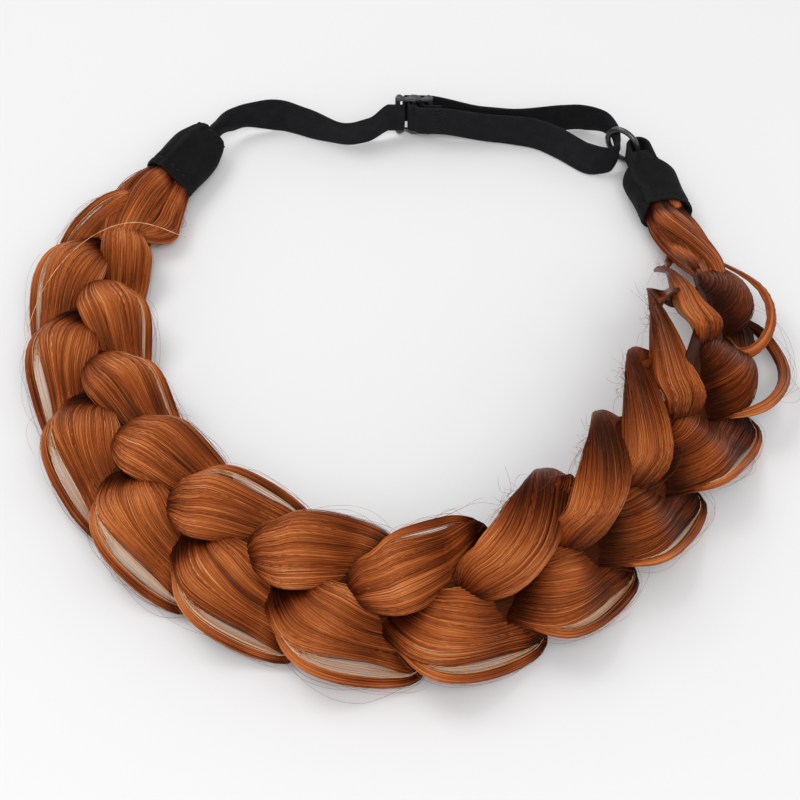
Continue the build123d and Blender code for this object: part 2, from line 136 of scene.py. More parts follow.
def make_spine(steps=500):
    """The braid's middle line, as arrays by name."""
    angle = np.linspace(STATIONS[0, 0], STATIONS[-1, 0], steps + 1)
    read = dict(zip(STATION_COLUMNS, between(STATIONS[:, 0], STATIONS, angle).T))
    reach = loop_radius * read["radius"]
    turn = np.radians(angle)
    line = {"x": reach * np.sin(turn), "y": loop_centre_y - reach * np.cos(turn)}
    back = np.maximum(np.arange(steps + 1) - 1, 0)
    ahead = np.minimum(np.arange(steps + 1) + 1, steps)
    stretch = np.hypot(line["x"] - line["x"][back], line["y"] - line["y"][back])
    way_x = line["x"][ahead] - line["x"][back]
    way_y = line["y"][ahead] - line["y"][back]
    run = np.hypot(way_x, way_y)
    line["s"] = np.cumsum(stretch)
    line["out_x"] = way_y / run
    line["out_y"] = -way_x / run
    for name in ("tilt", "bend"):
        line[name] = np.radians(read[name])
    for name in ("inner", "outer", "full"):
        line[name] = read[name]
    for name in ("push_in", "push", "push_out"):
        line[name] = strand_pitch * read[name]
    shape = [line[name] for name in ("tilt", "bend", "inner", "outer", "full")]
    line["z"] = resting_height(*shape) + sleeve_width * read["rise"]
    return line


spine = make_spine()
braid_length = spine["s"][-1]


def spine_at(s):
    """The spine's values at the distances s. It runs straight inside each sleeve."""
    s = np.clip(s, 0, braid_length)
    held = np.clip(s, hair_tuck, braid_length - hair_tuck)
    spot = {name: np.interp(held, spine["s"], values) for name, values in spine.items()}
    spot["x"] = spot["x"] - spot["out_y"] * (s - held)
    spot["y"] = spot["y"] + spot["out_x"] * (s - held)
    return spot


def place(s, across, up):
    """Points of the braid: along the spine, across to the outer rim, up from its face."""
    side = across / braid_half_width
    here = spine_at(s)
    lean = (here["push_out"] - here["push_in"]) / 2
    curve = (here["push_out"] + here["push_in"]) / 2 - here["push"]
    spot = spine_at(s + here["push"] + lean * side + curve * side * side)
    chord = spot["tilt"] + spot["bend"] * side / 2
    face = spot["tilt"] + spot["bend"] * side
    out = np.sin(chord) * across + np.cos(face) * up
    lift = np.sin(face) * up - np.cos(chord) * across
    x = spot["x"] + spot["out_x"] * out
    y = spot["y"] + spot["out_y"] * out
    return np.stack([x, y, spot["z"] + lift], -1)


# The three strands. Each is a thick lock of copper brown synthetic hair, which comes up from under
# its neighbours, runs out to a rim, turns under there and goes back. The bodies made here are the
# packed hair of each lock. Where a rim has a slit, its last hairs stand off from the imported ones.
# In the shade column, painted shade darkens the packed hair of the outer lobes at the right end, which face
# away from the light.
LOBE_COLUMNS = "number outer_slit outer_rim inner_slit stands_out drawn_back shade begins run".split()
LOBES = np.array([
    (0, 0, 2.4, 0, 0, 0, 1, 0.08, 0.80),
    (1, 0.9, 2.4, 0, 0, 0, 1, 0.08, 0.80),
    (2, 1.6, 2.2, 1.0, 0, 0, 1, 0.08, 0.80),
    (3, 3.2, 2.2, 0.8, 0, 0, 1, 0.08, 0.80),
    (4, 3.6, 2.2, 0, 0, 0, 1, 0.08, 0.80),
    (5, 3.8, 2.6, 1.8, 0, 0, 1, 0.08, 0.80),
    (6, 2.8, 2.6, 0, 0, 0, 1, 0.08, 0.80),
    (7, 4.4, 2.6, 0.8, 0, 0, 1, 0.08, 0.80),
    (8, 2.6, 2.6, 0, 0, 0, 1, 0.08, 0.80),
    (9, 2.6, 2.2, 0, 0, 0, 0.92, 0.08, 0.80),
    (10, 1.6, 2.2, 0, 0, 0, 0.76, 0.08, 0.80),
    (11, 0.8, 2.2, 0, 0, 0, 0.74, 0.08, 0.80),
    (12, 8.5, 3.2, 0, 0, 0, 0.60, 0.08, 0.80),
    (13, 2.5, 3.0, 0, 8.5, 8.0, 0.60, -0.02, 0.52),
    (14, 0, 2.4, 0, 0, 0, 0.9, 0.08, 0.80),
])
LOBES[:, 1:6] *= 0.001
inner_rim = 0.0022
inner_begins = 0.08
inner_run = 0.80
rim_half_thickness = 0.0011
rim_lowest = 0.0016


def turn_of(number, s):
    """How far round its weave a strand is at s. It crosses the spine at each half turn."""
    return math.tau * (s / period + number / 3) + strand_start


def pulled_out(turn, spot):
    """How far this side's lobes are pulled out: near 1 on a full side."""
    side = 0.5 + 0.5 * np.tanh(rim_sharpness * np.sin(turn))
    return spot["inner"] * (1 - side) + spot["outer"] * side


def strand_middle(s, turn):
    """A strand's middle, across and up from the spine."""
    spot = spine_at(s)
    across = strand_swing * spot["full"] * pulled_out(turn, spot) * np.sin(turn)
    return across, crossing_rise * spot["full"] * np.sin(2 * turn)


def near_turn(turn, middle, reach):
    """1 where the weave is turned to the middle, less beside it. Both are in degrees."""
    away = (np.degrees(turn) - middle + 180) % 360 - 180
    return np.exp(-((away / reach) ** 2))


lobes_rise_from = 0.262
lobes_rise_over = 0.035


def stands_up(s):
    """1 where the inner lobes stand up as narrow flaps, from the eighth one on, else 0."""
    return np.clip((s - lobes_rise_from) / lobes_rise_over, 0, 1)


# How far the two edges of a lock lie from the plain ribbon's, in millimetres, by its turn in
# degrees. Every lock comes up in the same way, and then lies down or stands.
EDGE_COLUMNS = "turn minus_along minus_across minus_up plus_along plus_across plus_up".split()
COMING_UP = [
    (0, 0, -3.0, -1.0, 0, 0, 0),
    (20, -0.5, -7.0, -2.0, 0, 0, 0),
    (45, -0.6, -11.5, -5.5, 0, 0, 0),
    (70, 1.5, -12.5, -5.0, 0, 0, 0),
    (90, 2.3, -12.0, -2.5, 0, 0, 0),
    (110, 2.5, -8.7, -1.0, 0, 0, 0),
    (130, 1.5, -3.0, 0, 0, 0, 0),
    (140, 3.5, -1.0, 0, -2.0, -3.0, 0),
    (150, 5.5, 0, 0, -4.0, -7.0, 0),
    (160, 7.4, 0, 0, -6.0, -10.5, 0),
]
LYING_EDGES = np.array(COMING_UP + [
    (172, 7.6, -0.8, 0, -7.0, -13.7, 0),
    (180, 3.7, -0.3, 0, -5.3, -9.7, 0.5),
    (190, 0.8, -1.0, 0, -3.4, -4.9, 1.5),
    (202, 0, -1.5, 0, -2.7, -1.1, 1.0),
    (215, 1.0, 0, 0, -2.2, 1.5, 0),
    (230, 0, 0, 0, -1.2, 2.7, 0),
    (250, 0, 0, 0, 0.9, 3.1, 0),
    (270, 0, 0, 0, 3.1, 2.0, 0),
    (290, 0, 0, 0, 4.4, -1.3, 0),
    (310, 0, 0, 0, 4.9, -4.6, 0),
    (330, 0, 0, 0, 3.3, -5.4, 0),
    (345, 0, -1.5, 0, 1.5, -2.5, 0),
    (360, 0, -3.0, -1.0, 0, 0, 0),
])
STANDING_EDGES = np.array(COMING_UP + [
    (172, 7.6, -0.8, 0, -6.5, -12.5, 0),
    (180, 3.7, -0.3, 0, -4.1, -8.9, 0.5),
    (190, 0.8, -1.0, 0, -1.5, -4.2, 1.5),
    (202, 0, -1.5, 0, 1.0, -2.0, 1.5),
    (215, -1.0, 1.5, 0, 2.5, -3.5, 1.0),
    (230, -3.2, 3.0, 0, 4.8, -5.0, 0),
    (250, -5.2, 1.0, 0, 10.0, -5.5, 0),
    (265, -5.8, -1.0, 0, 15.5, -6.5, 0),
    (280, -4.5, 0.4, -0.5, 21.0, -7.5, 0),
    (295, -1.8, 2.8, -1.5, 25.0, -8.5, -1.0),
    (310, -1.8, 3.4, -2.0, 23.0, -11.0, -2.0),
    (330, -3.0, 2.0, -2.0, 16.0, -12.0, -2.0),
    (345, -3.5, -2.0, -1.0, 9.0, -8.0, -1.0),
    (360, 0, -3.0, -1.0, 0, 0, 0),
])
LYING_EDGES[:, 1:] *= 0.001
STANDING_EDGES[:, 1:] *= 0.001

# How far the middle of a lying or standing lock leans, in millimetres, by its place on the spine.
LEAN_COLUMNS = "s along across up".split()
LEANS = np.array([
    (0, 0, 0, 0),
    (260, 0, 0, 0),
    (294, 0, 2.0, 3.0),
    (328, 0, 2.0, 1.5),
    (362, 0, 1.0, -5.5),
    (396, -1.0, 1.0, -9.5),
    (430, -1.0, 1.0, -9.0),
    (464, 0, 0, -3.0),
    (480, 0, 0, 0),
]) * 0.001
lean_turn = 252
lean_reach = 46
crest_from = 238
crest_run = 70
crest_turn = 300
crest_reach = 30
crest_arch = 0.0022
back_from = 312
back_run = 44


def eased(value):
    """A share from 0 to 1 that starts and ends gently."""
    share = np.clip(value, 0, 1)
    return share * share * (3 - 2 * share)


def rolled_over(s, turn):
    """How far a standing lock's face is rolled over, in radians: half round at the crest's far
    side, and the rest of the way where it is out of sight."""
    where = np.degrees(turn) % 360
    over = eased((where - crest_from) / crest_run)
    back = eased((where - back_from) / back_run)
    return math.pi * stands_up(s) * (over + back)


def arched(s, turn, wide):
    """How far the middle of a standing lock's crest is arched over its edges."""
    where = np.degrees(turn) % 360
    near_crest = np.exp(-(((where - crest_turn) / crest_reach) ** 2))
    return crest_arch * stands_up(s) * near_crest * (1 - wide**4)


def worn_in(s, turn, wide):
    """How soft hair leaves the plain ribbon: along it, across the braid, and up.

    A lock comes up at a narrow tip, fans out over its neighbour, and lies leaf-shaped there. At the
    right the inner ones stand, and go over their crest and down behind it.
    """
    where = np.degrees(turn) % 360
    upright = stands_up(s)[..., None]
    lying = between(LYING_EDGES[:, 0], LYING_EDGES, where)
    standing = between(STANDING_EDGES[:, 0], STANDING_EDGES, where)
    edge = dict(zip(EDGE_COLUMNS, np.moveaxis(lying + upright * (standing - lying), -1, 0)))
    minus = (1 - wide) / 2
    plus = (1 + wide) / 2
    along = minus * edge["minus_along"] + plus * edge["plus_along"]
    across = minus * edge["minus_across"] + plus * edge["plus_across"]
    up = minus**2 * edge["minus_up"] + plus**2 * edge["plus_up"]
    lean = dict(zip(LEAN_COLUMNS, np.moveaxis(between(LEANS[:, 0], LEANS, s), -1, 0)))
    leaning = np.exp(-(((where - lean_turn) / lean_reach) ** 4))
    return along + leaning * lean["along"], across + leaning * lean["across"], up + leaning * lean["up"]


def on_strand(number, s, wide, rise, slip=0.0, soft=True):
    """Points of a strand, at shares of its half width and half thickness there.

    slip moves a point towards the rim, in metres.
    """
    turn = turn_of(number, s)
    across, up = strand_middle(s, turn)
    step = 0.00001
    ahead, _ = strand_middle(s + step, turn + math.tau * step / period)
    behind, _ = strand_middle(s - step, turn - math.tau * step / period)
    run = np.hypot(2 * step, ahead - behind)
    spot = spine_at(s)
    over = np.sin(2 * turn) ** 2
    pulled = pulled_out(turn, spot)
    share = spot["full"] * np.minimum(pulled, 1)
    half_width = share * (strand_half_width + strand_spread * over)
    swell = strand_crossing_thickness - strand_flat_thickness
    half_thickness = spot["full"] * (strand_flat_thickness + swell * over) / 2
    aside = wide * half_width + slip * np.sign(np.sin(turn))
    side_s = -(ahead - behind) / run
    side_across = 2 * step / run
    further = s + side_s * aside
    across = across + side_across * aside
    if soft:
        more_along, more_across, more_up = worn_in(s, turn, wide)
        further = further + share * more_along
        across = across + share * more_across
        up = up + share * more_up
        roll = rolled_over(s, turn)
        across = across - arched(s, turn, wide) - rise * half_thickness * np.sin(roll)
        half_thickness = half_thickness * np.cos(roll)
    return place(further, across, up + rise * half_thickness)


def lobe_at(number, s):
    """The lobe that a strand is in at s: its slit, its rim's width, how far that stands out and
    is drawn back, the painted shade that darkens its packed hair, and where its rim begins and
    how far it runs, in half turns."""
    turn = turn_of(number, s)
    half_turn = np.floor(turn / math.pi)
    rim_s = s + (math.pi * (half_turn + 0.5) - turn) * period / math.tau
    outer = half_turn % 2 == 0
    first_rim = np.where(outer, 0.25, 0.75) * 3 - 3 * strand_start / math.tau
    row = np.round(rim_s / strand_pitch - first_rim % 1).astype(int)
    row = np.clip(row, 0, len(LOBES) - 1)
    lobe = dict(zip(LOBE_COLUMNS, np.moveaxis(LOBES[row], -1, 0)))
    slit = np.where(outer, lobe["outer_slit"], lobe["inner_slit"])
    rim = np.where(outer, lobe["outer_rim"], inner_rim)
    shade = np.where(outer, lobe["shade"], 1)
    begins = np.where(outer, lobe["begins"], inner_begins)
    run = np.where(outer, lobe["run"], inner_run)
    return slit, rim, outer * lobe["stands_out"], outer * lobe["drawn_back"], shade, begins, run


def crescent_at(number, s):
    """How open a slit is along its lobe, 1 in its middle."""
    return np.exp(-(np.abs((np.degrees(turn_of(number, s)) % 180 - 84) / 44) ** 3))


def held_back(number, s):
    """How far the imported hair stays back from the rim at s, to leave the slit open."""
    slit, rim = lobe_at(number, s)[:2]
    return np.where(slit > 0, (slit + rim) * crescent_at(number, s), 0)


def edge_shape(wide, power=2.4, root=0.62):
    """How thick a strand still is at this share of its half width."""
    return np.clip(1 - np.abs(wide) ** power, 0, 1) ** root


def cad_corners(number, sections=166, corners=10):
    """The corners of the strand's solid, which this braid is laid over."""
    s = np.linspace(0, braid_length, sections)[:, None]
    angle = math.tau * np.arange(corners)[None, :] / corners
    rise = np.sign(np.sin(angle)) * np.abs(np.sin(angle)) ** strand_edge
    return on_strand(number, s, np.cos(angle), rise, soft=False)


solid_corners = cad_corners(0).reshape(-1, 3)
to_frame = np.array(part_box("strand_1")[0]) - solid_corners.min(0)
left_over = np.array(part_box("strand_1")[1]) - solid_corners.max(0) - to_frame
print("frame offset", to_frame, "left over", left_over)


def new_mesh(name, points, quads, triangles=()):
    """A smooth closed mesh object from arrays of points and of corners, facing outwards."""
    mesh = bpy.data.meshes.new(name)
    points = np.asarray(points, float)
    quads = np.asarray(quads, np.int32).reshape(-1, 4)
    triangles = np.asarray(triangles, np.int32).reshape(-1, 3)
    fans = np.concatenate([quads[:, :3], quads[:, [0, 2, 3]], triangles])
    a, b, c = (points[fans[:, k]] for k in range(3))
    if np.sum(a * np.cross(b, c)) < 0:
        quads = quads[:, ::-1]
        triangles = triangles[:, ::-1]
    corners = np.concatenate([quads.ravel(), triangles.ravel()])
    sizes = np.concatenate([np.full(len(quads), 4), np.full(len(triangles), 3)])
    starts = np.concatenate([[0], np.cumsum(sizes)[:-1]]).astype(np.int32)
    mesh.vertices.add(len(points))
    mesh.vertices.foreach_set("co", points.astype(np.float32).ravel())
    mesh.loops.add(len(corners))
    mesh.loops.foreach_set("vertex_index", corners)
    mesh.polygons.add(len(sizes))
    mesh.polygons.foreach_set("loop_start", starts)
    mesh.polygons.foreach_set("use_smooth", np.ones(len(sizes), bool))
    mesh.update(calc_edges=True)
    piece = bpy.data.objects.new(name, mesh)
    bpy.context.scene.collection.objects.link(piece)
    return piece


def loft(name, rings):
    """A closed skin over a chain of rings, an array of sections, corners and places."""
    count, corners = rings.shape[:2]
    first = np.arange(count - 1)[:, None] * corners + np.arange(corners)
    after = np.arange(count - 1)[:, None] * corners + (np.arange(corners) + 1) % corners
    quads = np.stack([first, after, after + corners, first + corners], -1)
    points = np.concatenate([rings.reshape(-1, 3), rings[[0, -1]].mean(1)])
    edge = np.arange(corners)
    beside = (edge + 1) % corners
    middle = count * corners
    near = np.stack([beside, edge, np.full(corners, middle)], -1)
    last = (count - 1) * corners
    far = np.stack([edge + last, beside + last, np.full(corners, middle + 1)], -1)
    return new_mesh(name, points, quads, np.concatenate([near, far]))


def mark(piece, name, values):
    """Keeps a number or a place for each point of a piece, for its material."""
    values = np.asarray(values, np.float32)
    kind, field = ("FLOAT_VECTOR", "vector") if values.ndim == 2 else ("FLOAT", "value")
    piece.data.attributes.new(name, kind, "POINT").data.foreach_set(field, values.ravel())


def mark_loft(piece, name, values):
    """As mark, from an array with a row for each ring of a loft."""
    ends = np.stack([values[0].mean(0), values[-1].mean(0)])
    mark(piece, name, np.concatenate([values.reshape((-1,) + values.shape[2:]), ends]))


def belongs(piece, node_name=None):
    """Puts a piece on the part's one body, and hides the node it stands for."""
    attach(piece, "root")
    if node_name:
        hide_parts(node_name)


def painted_light_and_shade(number, s, rise):
    """The light and shade painted into the hair's colour: low where it comes up or goes under, above 1 at its
    crest.
    """
    shade = lobe_at(number, s)[4]
    inner = np.sin(turn_of(number, s)) < 0
    turn = turn_of(number, s) % math.pi / math.pi
    upright = stands_up(s) * inner
    turn = np.where((rise < 0) & (upright < 0.5), (turn + 0.5) % 1, turn)
    near = np.minimum(np.abs(turn), np.abs(turn - 1))
    opening = np.clip(near / 0.14, 0, 1)
    closing = np.clip((0.78 - turn) / 0.22, 0, 1)
    both = np.minimum(opening, np.where(turn > 0.5, closing, 1))
    # Painted shade darkens the hair where it comes up and goes under, and shade is the lobe's own painted
    # shade. crest and glint are painted highlights, and band is a painted shade band along the lobe's rim.
    darkest = 0.34 + 0.12 * upright
    crest = 0.30 * np.exp(-(((turn - 0.25) / 0.10) ** 2))
    glint = 0.12 * np.exp(-(((turn - 0.62) / 0.05) ** 2))
    band = (0.16 + 0.34 * upright) * np.exp(-(((turn - 0.52) / (0.08 + 0.05 * upright)) ** 2))
    return shade * (darkest + (1 - darkest) * eased(both) + (crest + glint) - band)


def new_material(name):
    """A new material, its node tree and its shader."""
    material = bpy.data.materials.new(name)
    material.use_nodes = True
    tree = material.node_tree
    return material, tree, tree.nodes["Principled BSDF"]


def reckon(tree, operation, *values):
    """The result of a maths node. Each value is a number or another node's result."""
    made = tree.nodes.new("ShaderNodeMath")
    made.operation = operation
    for socket, value in zip(made.inputs, values):
        if isinstance(value, (int, float)):
            socket.default_value = value
        else:
            tree.links.new(value, socket)
    return made.outputs[0]


def stretched_noise(tree, place_name, stretch, detail=2.0, roughness=0.6):
    """Noise over the places kept on a piece, each axis with its own scale."""
    spot = tree.nodes.new("ShaderNodeAttribute")
    spot.attribute_name = place_name
    scaled = tree.nodes.new("ShaderNodeVectorMath")
    scaled.operation = "MULTIPLY"
    scaled.inputs[1].default_value = stretch
    made = tree.nodes.new("ShaderNodeTexNoise")
    made.inputs["Scale"].default_value = 1.0
    made.inputs["Detail"].default_value = detail
    made.inputs["Roughness"].default_value = roughness
    tree.links.new(spot.outputs["Vector"], scaled.inputs[0])
    tree.links.new(scaled.outputs[0], made.inputs["Vector"])
    return made.outputs["Fac"]


def kept_value(tree, name):
    """The number kept on a piece under this name."""
    spot = tree.nodes.new("ShaderNodeAttribute")
    spot.attribute_name = name
    return spot.outputs["Fac"]


def ramp(tree, value, stops):
    """The colour of a ramp with the given places and colours."""
    made = tree.nodes.new("ShaderNodeValToRGB")
    bands = made.color_ramp.elements
    while len(bands) < len(stops):
        bands.new(0.5)
    for band, (spot, colour) in zip(bands, stops):
        band.position = spot
        band.color = (*colour, 1)
    tree.links.new(value, made.inputs["Fac"])
    return made.outputs["Color"]


def times(tree, first, second):
    """Two colours multiplied."""
    made = tree.nodes.new("ShaderNodeMix")
    made.data_type = "RGBA"
    made.blend_type = "MULTIPLY"
    made.inputs["Factor"].default_value = 1.0
    tree.links.new(first, made.inputs[6])
    tree.links.new(second, made.inputs[7])
    return made.outputs[2]


def raised(tree, shader, height, depth, strength=0.6):
    """Gives a shader its fine relief."""
    bump = tree.nodes.new("ShaderNodeBump")
    bump.inputs["Strength"].default_value = strength
    bump.inputs["Distance"].default_value = depth
    tree.links.new(height, bump.inputs["Height"])
    tree.links.new(bump.outputs["Normal"], shader.inputs["Normal"])


def hair_material(name, relief):
    """Copper brown hair with streaks along the lock, and painted light and shade: a painted highlight at its
    crests, painted shade in its folds.
    """
    material, tree, shader = new_material(name)
    fine = stretched_noise(tree, "lock_place", (3600, 22, 40))
    middling = stretched_noise(tree, "lock_place", (1100, 14, 23))
    broad = stretched_noise(tree, "lock_place", (190, 14, 9), 2.0)
    # lock_shade is the painted light and shade kept on each point. Where it is high it lifts the tone to
    # golden painted highlight, and where it is highest to pale, for hairs painted as lit through.
    lit = kept_value(tree, "lock_shade")
    tone = reckon(tree, "MULTIPLY", fine, 0.50)
    tone = reckon(tree, "MULTIPLY_ADD", middling, 0.18, tone)
    tone = reckon(tree, "MULTIPLY_ADD", broad, 0.28, tone)
    tone = reckon(tree, "MULTIPLY_ADD", lit, 0.24, tone)
    tone = reckon(tree, "SUBTRACT", tone, 0.19)
    tones = ramp(tree, tone, [
        (0.38, (0.060, 0.009, 0.002)),
        (0.48, (0.235, 0.044, 0.008)),
        (0.57, (0.450, 0.105, 0.022)),
        (0.68, (0.740, 0.250, 0.072)),
        (0.86, (0.980, 0.700, 0.460)),
    ])
    # Painted shade: the colour is darkened where lock_shade is low, in the folds.
    depths = ramp(tree, lit, [
        (0.34, (0.36, 0.22, 0.15)),
        (0.68, (0.78, 0.68, 0.60)),
        (1.0, (1, 1, 1)),
    ])
    tree.links.new(times(tree, tones, depths), shader.inputs["Base Color"])
    raised(tree, shader, fine, relief)
    shader.inputs["Roughness"].default_value = 0.34
    # The reflection is weakened where the shade is painted.
    tree.links.new(reckon(tree, "MULTIPLY", lit, 0.44), shader.inputs["Specular IOR Level"])
    shader.inputs["Specular Tint"].default_value = (1.0, 0.52, 0.25, 1)
    shader.inputs["Sheen Weight"].default_value = 0.05
    shader.inputs["Sheen Roughness"].default_value = 0.4
    shader.inputs["Sheen Tint"].default_value = (1.0, 0.55, 0.28, 1)
    return material


packed_hair = hair_material("packed_hair", 0.00035)
single_hair = hair_material("single_hair", 0.00005)
table_clearance = 0.0002
body_sections = 560
body_corners = 26
body_width = 0.97
body_fill = 0.94
body_shade = 0.86
end_margin = 0.0005
strand_nodes = ["strand_1", "strand_2", "strand_3"]


def above_table(points):
    """Points of the frame, with none of them in the table."""
    points[..., 2] = np.maximum(points[..., 2], table_clearance)
    return points


for number, node_name in enumerate(strand_nodes):
    s = np.linspace(end_margin, braid_length - end_margin, body_sections)[:, None]
    angle = math.tau * np.arange(body_corners)[None, :] / body_corners
    wide = np.cos(angle) * np.ones_like(s)
    rise = np.sign(np.sin(angle)) * edge_shape(wide) * np.ones_like(s)
    rim_side = np.sign(np.sin(turn_of(number, s)))
    back = held_back(number, s) * np.clip(wide * rim_side, 0, 1) ** 0.7
    rings = on_strand(number, s, body_width * wide, body_fill * rise, -back) + to_frame
    body = loft(f"{node_name}_lock", above_table(rings))
    spots = np.stack([wide * strand_half_width, s * np.ones_like(wide), np.full_like(wide, number)], -1)
    mark_loft(body, "lock_place", spots)
    mark_loft(body, "lock_shade", painted_light_and_shade(number, s, rise) * body_shade)
    body.data.materials.append(packed_hair)
    belongs(body, node_name)

# The hair beneath. Where the three locks pass each other, hair of the lowest one fills the braid's
# inside, so that the small openings between the locks show hair and not the table. Its colour is
# darkened with painted shade, for the shade inside the braid.
# Each row is its place on the spine, how far across and up it lies, and its half width and half
# thickness, in millimetres.
beneath_shade = 0.40
beneath_sections = 300
BENEATH = np.array([
    (30, 0, -1.0, 4.0, 1.2),
    (60, -1.0, -1.0, 7.0, 1.4),
    (120, -2.0, -1.0, 9.0, 1.5),
    (240, -2.0, -1.0, 10.0, 1.5),
    (300, -3.0, 0.5, 10.0, 1.5),
    (350, -4.0, 0.8, 10.0, 1.5),
    (400, -4.0, 0.8, 9.0, 1.5),
    (430, -2.0, 0.0, 5.0, 1.2),
    (445, -1.0, 0.0, 3.0, 1.0),
]) * 0.001
s = np.linspace(BENEATH[0, 0], BENEATH[-1, 0], beneath_sections)[:, None]
angle = math.tau * np.arange(24)[None, :] / 24
read = between(BENEATH[:, 0], BENEATH, s)
across, up, half_width, half_thickness = np.moveaxis(read[..., 1:], -1, 0)
furrow = 1 + 0.25 * np.sin(9 * angle + 60 * s) * np.abs(np.sin(angle))
wide = across + half_width * np.cos(angle)
points = place(s + 0 * angle, wide, up + half_thickness * np.sin(angle) * furrow)
beneath = loft("hair_beneath", above_table(points + to_frame))
mark_loft(beneath, "lock_place", np.stack([wide, s + 0 * angle, np.full_like(wide, 5.0)], -1))
mark_loft(beneath, "lock_shade", np.full_like(wide, beneath_shade))
beneath.data.materials.append(packed_hair)
belongs(beneath)

# The rims beyond the slits. Each is a thin bundle of the lock's last hairs, which leaves the lock,
# bows out round the slit and slips back under the next lobe. At the right end, where the braid
# stands up, two of them are long open loops.
bundle_steps = 44
bundle_corners = 12
bundle_shade = 0.95
bundle_grain = 0.0014


def slit_lobes(number):
    """The middles of the weave, in half turns, of the lobes of a strand that have a slit."""
    first = turn_of(number, 0.0) / math.pi
    found = []
    for half_turn in range(math.floor(first) - 1, math.ceil(first + 2 * braid_length / period) + 1):
        middle_s = (half_turn + 0.5 - first) * period / 2
        if 0 < middle_s < braid_length and lobe_at(number, middle_s)[0] > 0:
            found.append((half_turn, middle_s))
    return found


def lobe_of(number, half_turn):
    """What lobe_at gives in the middle of this half turn of a strand's weave."""
    return lobe_at(number, (half_turn + 0.5 - turn_of(number, 0.0) / math.pi) * period / 2)


def along_bundle(number, half_turn, share):
    """The distances along the spine of a bundle's shares, and its narrowing to its ends."""
    begins, run = lobe_of(number, half_turn)[5:]
    turn = math.pi * (half_turn + begins + run * share)
    s = ((turn - strand_start) / math.tau - number / 3) * period
    return s, 1 - 0.55 * np.abs(2 * share - 1) ** 2.5


def on_bundle(number, half_turn, share, angle, fill=1.0):
    """Points of a rim bundle: along it, round it, and out to a share of its radius."""
    s, slim = along_bundle(number, half_turn, share)
    rim, out, back = lobe_of(number, half_turn)[1:4]
    rim_side = 1 if half_turn % 2 == 0 else -1
    bowed = np.sin(math.pi * np.clip(share, 0, 1)) ** 1.5
    half = rim / 2 * slim
    slip = out * bowed - rim / 2 + half * fill * np.cos(angle)
    rise = fill * np.sin(angle) * rim_half_thickness * slim / (strand_flat_thickness / 2)
    side = rim_side * np.ones_like(slip)
    points = on_strand(number, s - back * bowed, side, rise, slip)
    middle = on_strand(number, s - back * bowed, side, 0 * rise, out * bowed - rim / 2)
    points[..., 2] += np.maximum(rim_lowest - to_frame[2] - middle[..., 2], 0)
    return s, points


for number, node_name in enumerate(strand_nodes):
    for half_turn, _ in slit_lobes(number):
        share = np.linspace(0, 1, bundle_steps)[:, None]
        angle = math.tau * np.arange(bundle_corners)[None, :] / bundle_corners
        s, points = on_bundle(number, half_turn, share, angle)
        piece = loft(f"{node_name}_rim_{half_turn + 2}", above_table(points + to_frame))
        layer = np.full_like(points[..., 0], number + half_turn)
        spots = np.stack([np.cos(angle) * bundle_grain + 0 * s, s + 0 * angle, layer], -1)
        mark_loft(piece, "lock_place", spots)
        lit = painted_light_and_shade(number, s, np.ones_like(layer)) / lobe_at(number, s)[4]
        mark_loft(piece, "lock_shade", lit * bundle_shade)
        piece.data.materials.append(packed_hair)
        belongs(piece)

# The gathered ends. At each sleeve the three locks are drawn together into one flat bunch, as wide
# as the sleeve's mouth. It goes 6 mm into the mouth, where it is sewn fast. A loose lock lies over
# each bunch, and a tuft stands off beside the left one.

# Each row is the distance from the braid's end, the half width, the half thickness and the shift
# across, in millimetres.
LEFT_BUNCH = np.array([
    (2, 6.4, 2.8, 0),
    (8, 7.2, 3.2, 0),
    (13, 8.6, 4.2, -0.3),
    (22, 9.2, 4.8, -1.0),
    (32, 8.2, 4.4, -2.0),
    (42, 5.2, 2.6, -3.0),
    (47, 1.2, 0.8, -3.2),
]) * 0.001
RIGHT_BUNCH = np.array([
    (2, 6.4, 2.8, 0),
    (8, 7.2, 3.2, 0),
    (13, 8.2, 4.0, 0.4),
    (21, 7.6, 4.2, 0.8),
    (30, 5.6, 3.2, 0),
    (38, 3.0, 1.8, -1.0),
    (42, 0.8, 0.6, -1.2),
]) * 0.001


def on_bunch(table, from_end, at_left, angle, fill=1.0, twist=18.0):
    """Points of a gathered end, at a distance from the braid's end."""
    half_width, half_thickness, shift = between(table[:, 0], table, from_end)[..., 1:].transpose(2, 0, 1)
    s = from_end if at_left else braid_length - from_end
    turned = angle + twist * from_end
    across = shift + fill * half_width * np.cos(turned)
    up = fill * half_thickness * np.sign(np.sin(turned)) * np.abs(np.sin(turned)) ** 0.85
    return s, place(s, across, up)


# Each row is the distance from the braid's end, how far across and up the lock lies, and its half
# width and half thickness, in millimetres.
LEFT_TUFT = np.array([
    (4, -3.0, 1.0, 3.0, 2.2),
    (10, -5.5, 1.6, 4.2, 3.0),
    (17, -9.0, 2.0, 5.0, 3.6),
    (23, -11.5, 2.0, 5.2, 3.6),
    (29, -11.5, 1.6, 4.2, 3.0),
    (33, -9.5, 1.2, 2.6, 2.0),
    (36, -7.5, 1.0, 0.8, 0.8),
]) * 0.001
LEFT_LOCK = np.array([
    (3, 2.5, 1.6, 2.4, 1.4),
    (8, 3.0, 2.2, 3.0, 1.6),
    (14, 2.6, 4.0, 3.6, 2.2),
    (22, 0.6, 5.2, 3.8, 2.4),
    (32, -2.6, 5.4, 3.4, 2.2),
    (42, -5.4, 4.0, 2.8, 1.8),
    (50, -7.4, 1.6, 1.8, 1.0),
]) * 0.001
